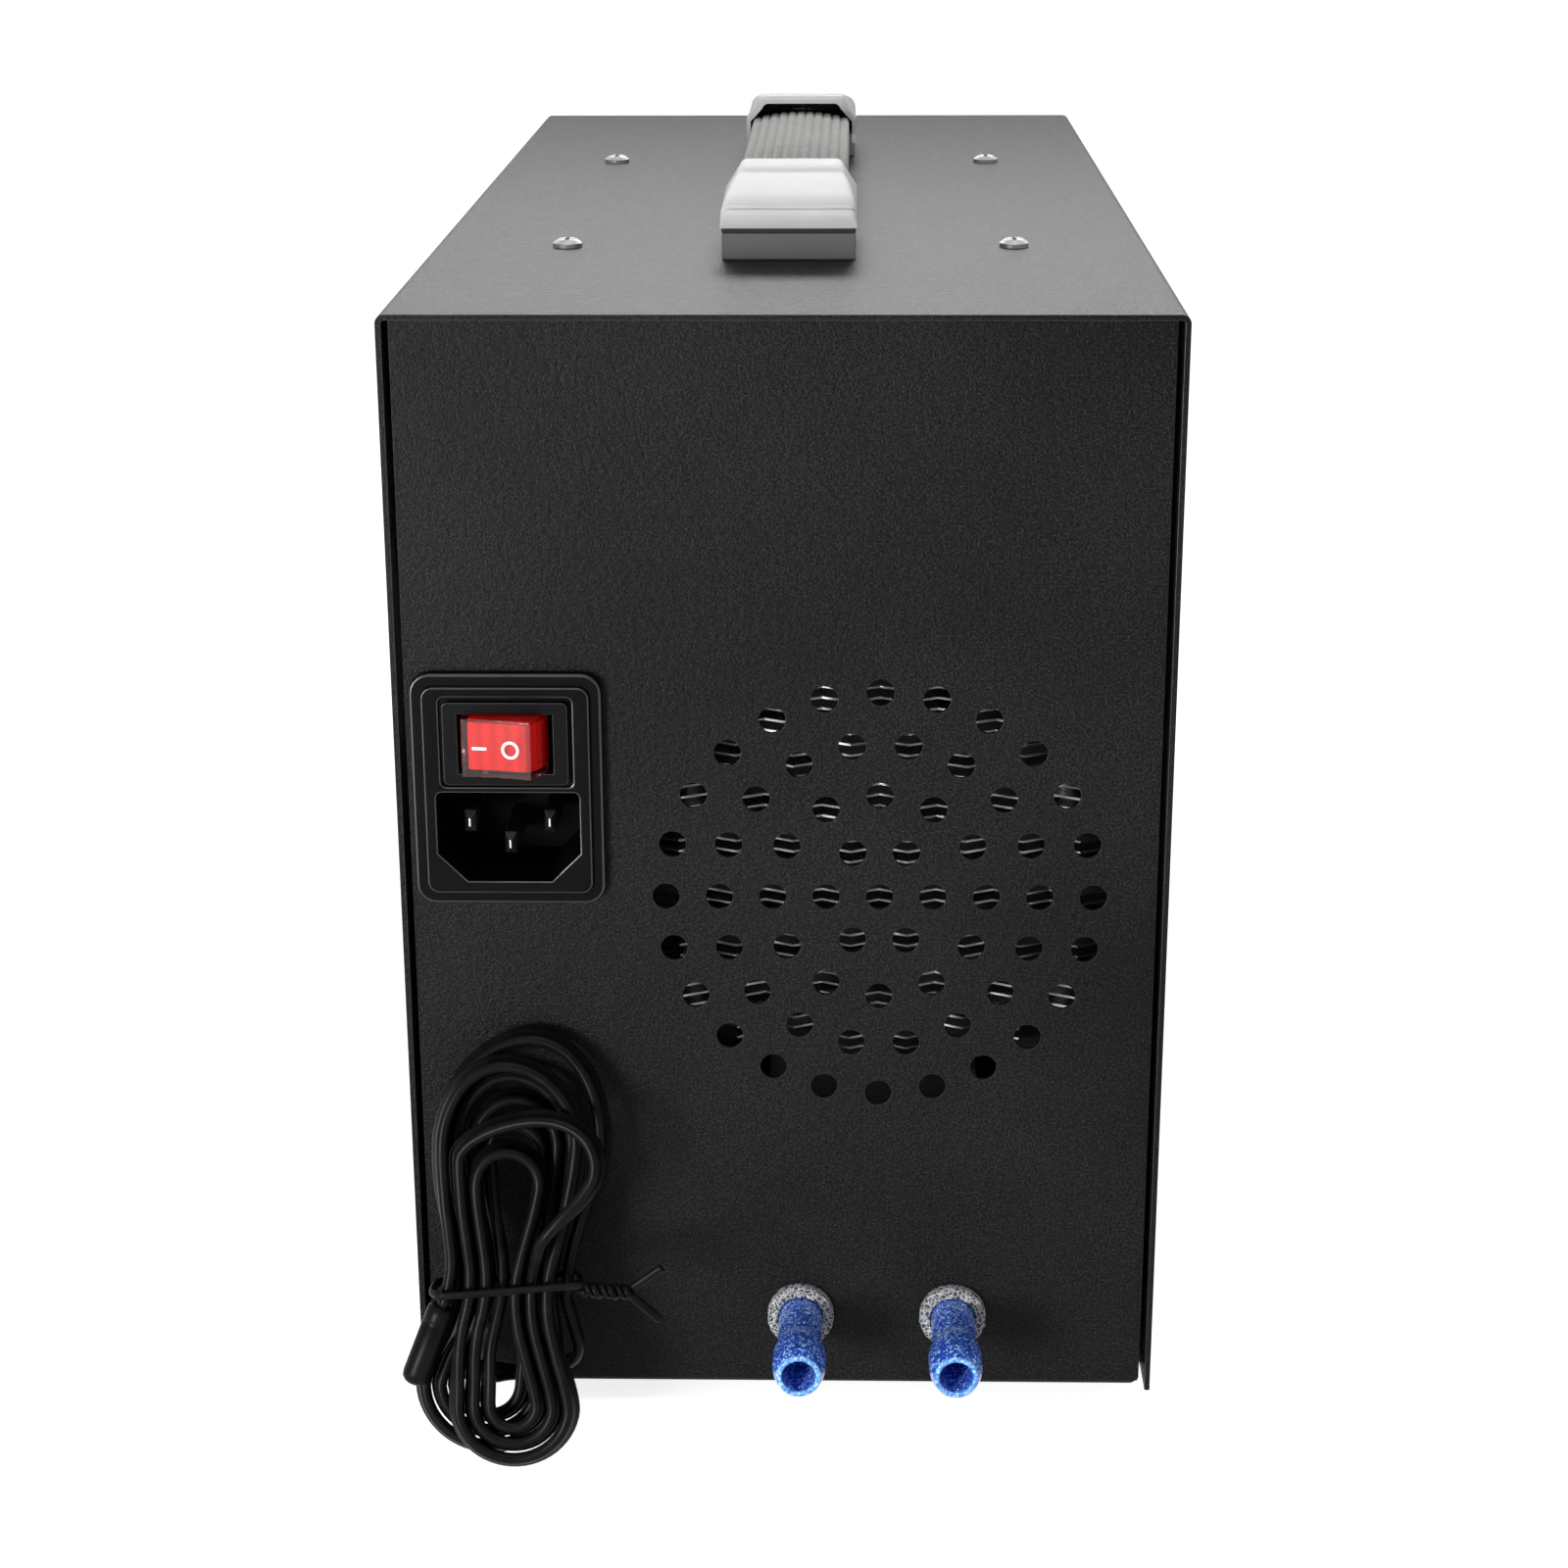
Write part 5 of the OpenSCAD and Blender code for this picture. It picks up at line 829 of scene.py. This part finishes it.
def handle_sleeve():
    """The sleeve's own shape, its ribs sunk to a soft ripple."""
    bm = merged_copy("strap_sleeve")
    for vert in bm.verts:
        arch = (SLEEVE_TOP - SLEEVE_DROP * (vert.co.x / (SLEEVE_SPAN * MM)) ** 2) * MM
        if vert.co.z > RIB_FLOOR * MM and abs(vert.co.x) < RIB_EDGE * MM:
            vert.co.z = arch - RIB_SHARE * (arch - vert.co.z)
    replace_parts(piece_from("sleeve_drawn", bm, STRAP), "strap_sleeve")


handle_cap("rear_handle_cap", REAR_NOSE, 1)
handle_cap("front_handle_cap", FRONT_NOSE, -1)
handle_sleeve()


# Mains inlet
INLET_X, INLET_Z = -47.9, 121.2
FLANGE_W, FLANGE_H, FLANGE_R, FLANGE_FILLET = 33.2, 42, 3.5, 0.45
RIM_W, RIM_H, RIM_R, RIM_FILLET, RIM_DRAFT = 29, 37.6, 2, 0.28, 0.15
PANEL_Y, FLANGE_Y, RIM_Y, HOUSING_BACK_Y = -138.5, -140.5, -141.3, -113.5
HOUSING_W, HOUSING_H, HOUSING_R = 28, 36, 0.4
RECESS_Z, RECESS_W, RECESS_H, RECESS_CUT, RECESS_R, RECESS_DEPTH = 112.8, 24.9, 16.3, 5.1, 1, 18
SWITCH_Z, POCKET_W, POCKET_H, POCKET_R, POCKET_DEPTH = 130.1, 23, 16.2, 1, 0.6
SWITCH_HOLE_W, SWITCH_HOLE_H, SWITCH_HOLE_R = 19.8, 13.8, 0.3
ARC_STEPS, FILLET_STEPS = 5, 4
# How much larger a hole is at each depth of its rounded mouth
MOUTH = [(0.25, 0), (0.07, 0.07), (0, 0.25)]
# Finish numbers of the moulding: plain, a lighter edge that is a painted highlight, and a darker inside that
# is painted shade.
PLAIN, EDGE, DARK = 0, 1, 2


def rounded_rectangle(w, h, r):
    points = []
    for side, end, start in ((1, 1, 0), (-1, 1, 90), (-1, -1, 180), (1, -1, 270)):
        for k in range(ARC_STEPS + 1):
            x, z = on_circle(r, start + 90 * k / ARC_STEPS)
            points.append((side * (w / 2 - r) + x, end * (h / 2 - r) + z))
    return points


def recess_outline(grow=0.0):
    """A rectangle with two lower corners cut, made larger all round by the given amount."""
    w, h = RECESS_W + 2 * grow, RECESS_H + 2 * grow
    cut = RECESS_CUT + (2 - math.sqrt(2)) * grow
    upper = rounded_rectangle(w, h, RECESS_R + grow)[:2 * (ARC_STEPS + 1)]
    return upper + [(-w / 2, cut - h / 2), (cut - w / 2, -h / 2), (w / 2 - cut, -h / 2), (w / 2, cut - h / 2)]


def ring_at(bm, outline, y, z):
    return [bm.verts.new(((INLET_X + a) * MM, y * MM, (z + b) * MM)) for a, b in outline]


def filleted(bm, w, h, r, fillet, y):
    """Rings round the front edge of a plate whose face is at y."""
    rings = []
    for k in range(FILLET_STEPS + 1):
        turn = math.radians(90 * k / FILLET_STEPS)
        inset = fillet * (1 - math.cos(turn))
        outline = rounded_rectangle(w - 2 * inset, h - 2 * inset, r - inset)
        rings.append(ring_at(bm, outline, y + fillet * (1 - math.sin(turn)), INLET_Z))
    return rings


def face_between(bm, rings, way, finish=PLAIN):
    """A flat face inside the first ring, with the other rings as its holes."""
    edges = [bm.edges.get(pair) for ring in rings for pair in zip(ring, ring[1:] + ring[:1])]
    made = bmesh.ops.triangle_fill(bm, use_beauty=True, edges=edges, normal=(0, way, 0))["geom"]
    for face in made:
        if isinstance(face, bmesh.types.BMFace):
            face.material_index = finish


def inlet_housing():
    bm = bmesh.new()
    body = [ring_at(bm, rounded_rectangle(HOUSING_W, HOUSING_H, HOUSING_R), y, INLET_Z)
            for y in (HOUSING_BACK_Y, PANEL_Y)]
    flange_back = ring_at(bm, rounded_rectangle(FLANGE_W, FLANGE_H, FLANGE_R), PANEL_Y, INLET_Z)
    flange = filleted(bm, FLANGE_W, FLANGE_H, FLANGE_R, FLANGE_FILLET, FLANGE_Y)
    rim_foot = ring_at(bm, rounded_rectangle(RIM_W + 2 * RIM_DRAFT, RIM_H + 2 * RIM_DRAFT, RIM_R + RIM_DRAFT),
                       FLANGE_Y, INLET_Z)
    rim = filleted(bm, RIM_W, RIM_H, RIM_R, RIM_FILLET, RIM_Y)
    # The fillets and the mouths of the pocket and recess take the lighter edge finish, a painted highlight.
    rounded = [EDGE] * FILLET_STEPS
    skin(bm, body + [flange_back] + flange + [rim_foot] + rim, [PLAIN] * 3 + rounded + [PLAIN] * 2 + rounded)

    pocket = [ring_at(bm, rounded_rectangle(POCKET_W + 2 * grow, POCKET_H + 2 * grow, POCKET_R + grow),
                      RIM_Y + deep, SWITCH_Z)
              for grow, deep in MOUTH + [(0, POCKET_DEPTH)]]
    hole = [ring_at(bm, rounded_rectangle(SWITCH_HOLE_W, SWITCH_HOLE_H, SWITCH_HOLE_R), y, SWITCH_Z)
            for y in (RIM_Y + POCKET_DEPTH, HOUSING_BACK_Y)]
    skin(bm, pocket + hole, [EDGE, EDGE])
    recess = [ring_at(bm, recess_outline(grow), RIM_Y + deep, RECESS_Z)
              for grow, deep in MOUTH + [(0, RECESS_DEPTH)]]
    skin(bm, recess, [EDGE, EDGE, DARK])
    face_between(bm, [rim[-1], pocket[0], recess[0]], -1)
    face_between(bm, [body[0], hole[1]], 1)
    # The recess's deepest band and its back are darker than the moulding: painted shade.
    face_between(bm, [recess[-1]], -1, DARK)
    bmesh.ops.recalc_face_normals(bm, faces=bm.faces)
    housing = piece_from("inlet_moulding", bm, INLET_BLACK, smooth=40)
    housing.data.materials.append(MOULDED_EDGE_HIGHLIGHT)
    housing.data.materials.append(RECESS_SHADE)
    housing.modifiers.new("flat_faces", "WEIGHTED_NORMAL").keep_sharp = True
    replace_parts(housing, "inlet_housing")


PIN_PLACES = [(-7, 2), (7, 2), (0, -2)]
PIN_W, PIN_H, PIN_TAPER, PIN_ROUND = 2, 4, 1.3, 0.12
NOSE_INSET, NOSE_SCALE = 0.01, (0.16, 1, 0.36)


def inlet_pins():
    """Three flat pins, each drawn in to a narrow tip."""
    bm = bmesh.new()
    low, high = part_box("inlet_pins")
    back, length = high[1] / MM, (high[1] - low[1]) / MM - PIN_TAPER
    for across, up in PIN_PLACES:
        x = INLET_X + across
        pin = box_in(bm, (PIN_W, length, PIN_H), (x, back - length / 2, RECESS_Z + up))
        faces = {face for vert in pin for face in vert.link_faces}
        nose = min(faces, key=lambda face: face.calc_center_median().y)
        bmesh.ops.inset_individual(bm, faces=[nose], thickness=NOSE_INSET * MM)
        nose.material_index = 1
        verts = list(nose.verts)
        bmesh.ops.translate(bm, vec=(0, -PIN_TAPER * MM, 0), verts=verts)
        middle = Matrix.Translation((-x * MM, 0, -(RECESS_Z + up) * MM))
        bmesh.ops.scale(bm, vec=NOSE_SCALE, verts=verts, space=middle)
    # The pins' bodies are a dark metal, a painted shade, and only their tips take the bright nickel.
    pins = piece_from("pins_drawn", bm, PIN_SHADE, smooth=30)
    pins.data.materials.append(NICKEL)
    rounded_edges(pins, PIN_ROUND, segments=2)
    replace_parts(pins, "inlet_pins")


inlet_housing()
inlet_pins()


# Rocker
# In its own frame: x along it, -y out of the panel
ROCKER_PLACE = (Matrix.Translation(Vector((-47.9, -138.1, 130.1)) * MM)
                @ Matrix.Rotation(math.radians(-10), 4, "Z"))
ROCKER_FACE, DISH_DEPTH, DISH_HALF = -7.4, 0.5, 6.1
HEART_SIZE, HEART_CENTRE, HEART_ROUND = (12.4, 7.2, 8.6), (0.9, -2.6, 0.2), 0.3
HEART_BEND_X, HEART_BEND_BACK, HEART_FACING = 5, 2.6, 0.8
DASH_X, DASH_SIZE, DASH_ROUND = -3.0, (2.5, 0.1, 0.5), 0.03
RING_X, RING_OUTLINE = 2.5, [(1.6, -0.05), (1.6, 0.05), (1.12, 0.05), (1.12, -0.05), (1.6, -0.05)]


def rocker_pieces():
    """A clear red shell over a red heart, whose right end slopes back."""
    eased_node("switch_rocker", 0.45, segments=4, body="rocker")
    core = bmesh.new()
    box_in(core, HEART_SIZE, HEART_CENTRE)
    bmesh.ops.bisect_plane(core, geom=core.verts[:] + core.edges[:] + core.faces[:],
                           plane_co=(HEART_BEND_X * MM, 0, 0), plane_no=(1, 0, 0))
    middle_y = HEART_CENTRE[1] * MM
    corner = [v for v in core.verts if v.co.x > (HEART_BEND_X + 1) * MM and v.co.y < middle_y]
    bmesh.ops.translate(core, vec=(0, HEART_BEND_BACK * MM, 0), verts=corner)
    bevelled(core, core.edges, HEART_ROUND, segments=2)
    bmesh.ops.transform(core, matrix=ROCKER_PLACE, verts=core.verts)
    core.normal_update()
    front = ROCKER_PLACE.to_3x3() @ Vector((0, -1, 0))
    # Faces that don't face the front take the darker copy: painted shade on the heart's sides.
    for face in core.faces:
        face.material_index = 0 if face.normal.dot(front) > HEART_FACING else 1
    heart = piece_from("rocker_heart", core, CORE, "rocker", smooth=30)
    heart.data.materials.append(CORE_SHADED)


def on_rocker(x):
    """The place of a mark in the rocker's shallow dish."""
    dish = math.atan2(DISH_DEPTH, DISH_HALF) * (1 if x < 0 else -1)
    face = ROCKER_FACE + DISH_DEPTH + x * math.tan(dish)
    return ROCKER_PLACE @ Matrix.Translation((x * MM, face * MM, 0)) @ Matrix.Rotation(dish, 4, "Z")


def rocker_marks():
    dash = bmesh.new()
    box_in(dash, DASH_SIZE, (0, 0, 0))
    bevelled(dash, dash.edges, DASH_ROUND)
    bmesh.ops.transform(dash, matrix=on_rocker(DASH_X), verts=dash.verts)
    piece_from("dash_mark", dash, MARK, "rocker", smooth=30)
    place = on_rocker(RING_X) @ Matrix.Rotation(math.pi / 2, 4, "X")
    spun("ring_mark", RING_OUTLINE, place, MARK, "rocker")


rocker_pieces()
rocker_marks()


# Water tubes
TUBES = [("left", 2.8), ("right", 30.8)]
TUBE_Z, TUBE_TIP_Y, TUBE_BORE, TUBE_R, TUBE_LENGTH = 18.7, -162, 3, 4, 40
# Radius and distance from the tip: inside to the rounded lip, then the lip, the hose bead and the plain tube
TUBE_INSIDE = [(TUBE_BORE, TUBE_LENGTH), (TUBE_BORE, 20), (TUBE_BORE, 0.5), (3.08, 0.15), (3.3, 0), (3.7, 0)]
TUBE_OUTSIDE = [(3.92, 0.12), (TUBE_R, 0.4), (4.25, 1), (4.55, 2), (4.72, 3), (4.8, 4), (4.8, 5.5),
                (4.8, 7.1), (4.68, 8.4), (4.4, 9.6), (4.12, 10.8), (TUBE_R, 11.9), (TUBE_R, 20),
                (TUBE_R, TUBE_LENGTH)]
LIP_R, LIP_DEPTH = 4.05, 0.75


def out_of_panel(x, y):
    """A place whose local Z axis points into the case."""
    return Matrix.Translation(Vector((x, y, TUBE_Z)) * MM) @ Matrix.Rotation(-math.pi / 2, 4, "X")


def water_tube(side, x):
    place = out_of_panel(x, TUBE_TIP_Y)
    tube = spun(side + "_tube", TUBE_INSIDE + TUBE_OUTSIDE + TUBE_INSIDE[:1], place, BLUE)
    tube.data.materials.append(LIP)
    for face in tube.data.polygons:
        centre = place.inverted() @ face.center
        if centre.z < LIP_DEPTH * MM and math.hypot(centre.x, centre.y) < LIP_R * MM:
            face.material_index = 1
    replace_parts(tube, side + "_water_tube")


COLLAR_FACE_Y, COLLAR_INNER, COLLAR_OUTER, COLLAR_DEPTH = -140.5, 4.12, 6.1, 5.5
COLLAR_EASE_IN, COLLAR_EASE_OUT, COLLAR_BANDS = 0.2, 0.3, 6
TORN_DEPTH, TORN_OUT, TORN_BACK, TORN_BIAS = 1.5, 0.22, 0.3, 0.3
LARGE_PORES, SMALL_PORES, SMALL_SHARE = 1400, 3100, 0.6


def foam_collar(side, x):
    """A ring cut from open foam: its edges are torn and its face is rough."""
    inner, outer = COLLAR_INNER + COLLAR_EASE_IN, COLLAR_OUTER - COLLAR_EASE_OUT
    outline = [(COLLAR_INNER, COLLAR_DEPTH), (COLLAR_INNER, 0.2)]
    outline += [(inner + (outer - inner) * k / COLLAR_BANDS, 0) for k in range(COLLAR_BANDS + 1)]
    outline += [(COLLAR_OUTER, 0.4), (COLLAR_OUTER, 1.6), (COLLAR_OUTER, COLLAR_DEPTH)] + outline[:1]
    collar = spun(side + "_collar", outline, out_of_panel(x, COLLAR_FACE_Y), FOAM, steps=72)
    for vert in collar.data.vertices:
        if vert.co.y <= (COLLAR_FACE_Y + TORN_DEPTH) * MM:
            out = vert.co - Vector((x * MM, vert.co.y, TUBE_Z * MM))
            rough = noise.noise(vert.co * LARGE_PORES) + SMALL_SHARE * noise.noise(vert.co * SMALL_PORES)
            share = (out.length / MM - COLLAR_INNER) / (COLLAR_OUTER - COLLAR_INNER)
            vert.co += out.normalized() * TORN_OUT * MM * rough * share
            vert.co.y += TORN_BACK * MM * max(0, rough + TORN_BIAS)
    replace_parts(collar, side + "_foam_collar")


for side, x in TUBES:
    water_tube(side, x)
for side, x in TUBES:
    foam_collar(side, x)


# Display
DISPLAY_FACE, DISPLAY_Z, DIGIT_W, DIGIT_H, STROKE = 154.75, 164, 6.4, 12, 1.25
STROKE_DEPTH, STROKE_PROUD, STROKE_GAP, STROKE_CUT = 0.25, 0.1, 0.2, 0.45
# Each segment's place, across in digit widths and up in half heights, and whether it stands upright
SEGMENTS = [(0, 1, 0), (0.5, 0.5, 1), (0.5, -0.5, 1), (0, -1, 0), (-0.5, -0.5, 1), (-0.5, 0.5, 1), (0, 0, 0)]
# Each digit's place and its lit segments; the point stands after the second one
LIT = [(13, (0, 1, 3, 4, 6)), (0, (0, 2, 3, 5, 6)), (-13, (0, 1, 2, 3, 4, 5))]
POINT_X = -6.5


def lit_stroke(bm, x, z, length, upright):
    size = (STROKE, STROKE_DEPTH, length) if upright else (length, STROKE_DEPTH, STROKE)
    made = box_in(bm, size, (x, DISPLAY_FACE + STROKE_PROUD, z))
    edges = {edge for vert in made for edge in vert.link_edges}
    deep = [edge for edge in edges if abs(edge.verts[0].co.y - edge.verts[1].co.y) > STROKE_DEPTH / 2 * MM]
    bevelled(bm, deep, STROKE_CUT)


def display_digits():
    """Three lit numerals behind the window, read from the front."""
    bm = bmesh.new()
    for x, lit in LIT:
        for k in lit:
            across, up, upright = SEGMENTS[k]
            length = (DIGIT_H / 2 if upright else DIGIT_W) - STROKE - STROKE_GAP
            lit_stroke(bm, x - across * DIGIT_W, DISPLAY_Z + up * DIGIT_H / 2, length, upright)
    lit_stroke(bm, POINT_X, DISPLAY_Z - DIGIT_H / 2, STROKE, False)
    piece_from("lit_digits", bm, GLOW, smooth=30)


display_digits()


# Stage and light
OTHER_RAYS_LIGHT, FLOOR_REACH, FLOOR_DROP, FLOOR_LIGHT = 0.32, 6.0, 0.0002, 0.8


def white_to_the_eye(tree):
    """1 for camera, glossy and transmission rays, and 0 for all others."""
    paths = tree.nodes.new("ShaderNodeLightPath").outputs
    seen = maths(tree, "MAXIMUM", paths["Is Camera Ray"], paths["Is Glossy Ray"])
    return maths(tree, "MAXIMUM", seen, paths["Is Transmission Ray"])


def set_world():
    world = bpy.data.worlds.new("studio")
    world.use_nodes = True
    tree = world.node_tree
    back = tree.nodes["Background"]
    back.inputs["Color"].default_value = (1, 1, 1, 1)
    level = tree.nodes.new("ShaderNodeMapRange")
    level.inputs["To Min"].default_value = OTHER_RAYS_LIGHT
    level.inputs["To Max"].default_value = 1.0
    tree.links.new(white_to_the_eye(tree), level.inputs["Value"])
    tree.links.new(level.outputs["Result"], back.inputs["Strength"])
    bpy.context.scene.world = world


def set_floor():
    bm = bmesh.new()
    bmesh.ops.create_grid(bm, x_segments=1, y_segments=1, size=FLOOR_REACH)
    bmesh.ops.translate(bm, vec=(0, 0, -FLOOR_DROP), verts=bm.verts)
    mesh = bpy.data.meshes.new("floor")
    bm.to_mesh(mesh)
    bm.free()
    pale = Finish("pale_floor", Base_Color=(0.9, 0.9, 0.9, 1), Roughness=0.9, Specular_IOR_Level=0.1,
                  Emission_Color=(1, 1, 1, 1))
    glow = maths(pale.tree, "MULTIPLY", white_to_the_eye(pale.tree), FLOOR_LIGHT)
    pale.link(glow, pale.shader.inputs["Emission Strength"])
    mesh.materials.append(pale.material)
    floor = bpy.data.objects.new("floor", mesh)
    bpy.context.scene.collection.objects.link(floor)


def soft_box(name, place, target, size, power, spread=180):
    lamp = bpy.data.lights.new(name, "AREA")
    lamp.spread = math.radians(spread)
    lamp.shape = "RECTANGLE"
    lamp.size, lamp.size_y = size
    lamp.energy = power
    box = bpy.data.objects.new(name, lamp)
    way = Vector(target) - Vector(place)
    box.matrix_world = Matrix.Translation(place) @ way.to_track_quat("-Z", "Y").to_matrix().to_4x4()
    bpy.context.scene.collection.objects.link(box)


set_world()
set_floor()
soft_box("left_key", (-0.46, -0.84, 0.1), (-0.05, -0.13, 0.16), (0.24, 0.24), 10.5)
soft_box("top_light", (0.1, -0.35, 1.4), (0, 0, 0.1), (0.9, 0.7), 7)
soft_box("far_strip", (0, 0.52, 0.5), (0, -0.14, 0.204), (0.9, 0.12), 0.52, spread=60)
bpy.context.scene.view_settings.view_transform = "Standard"
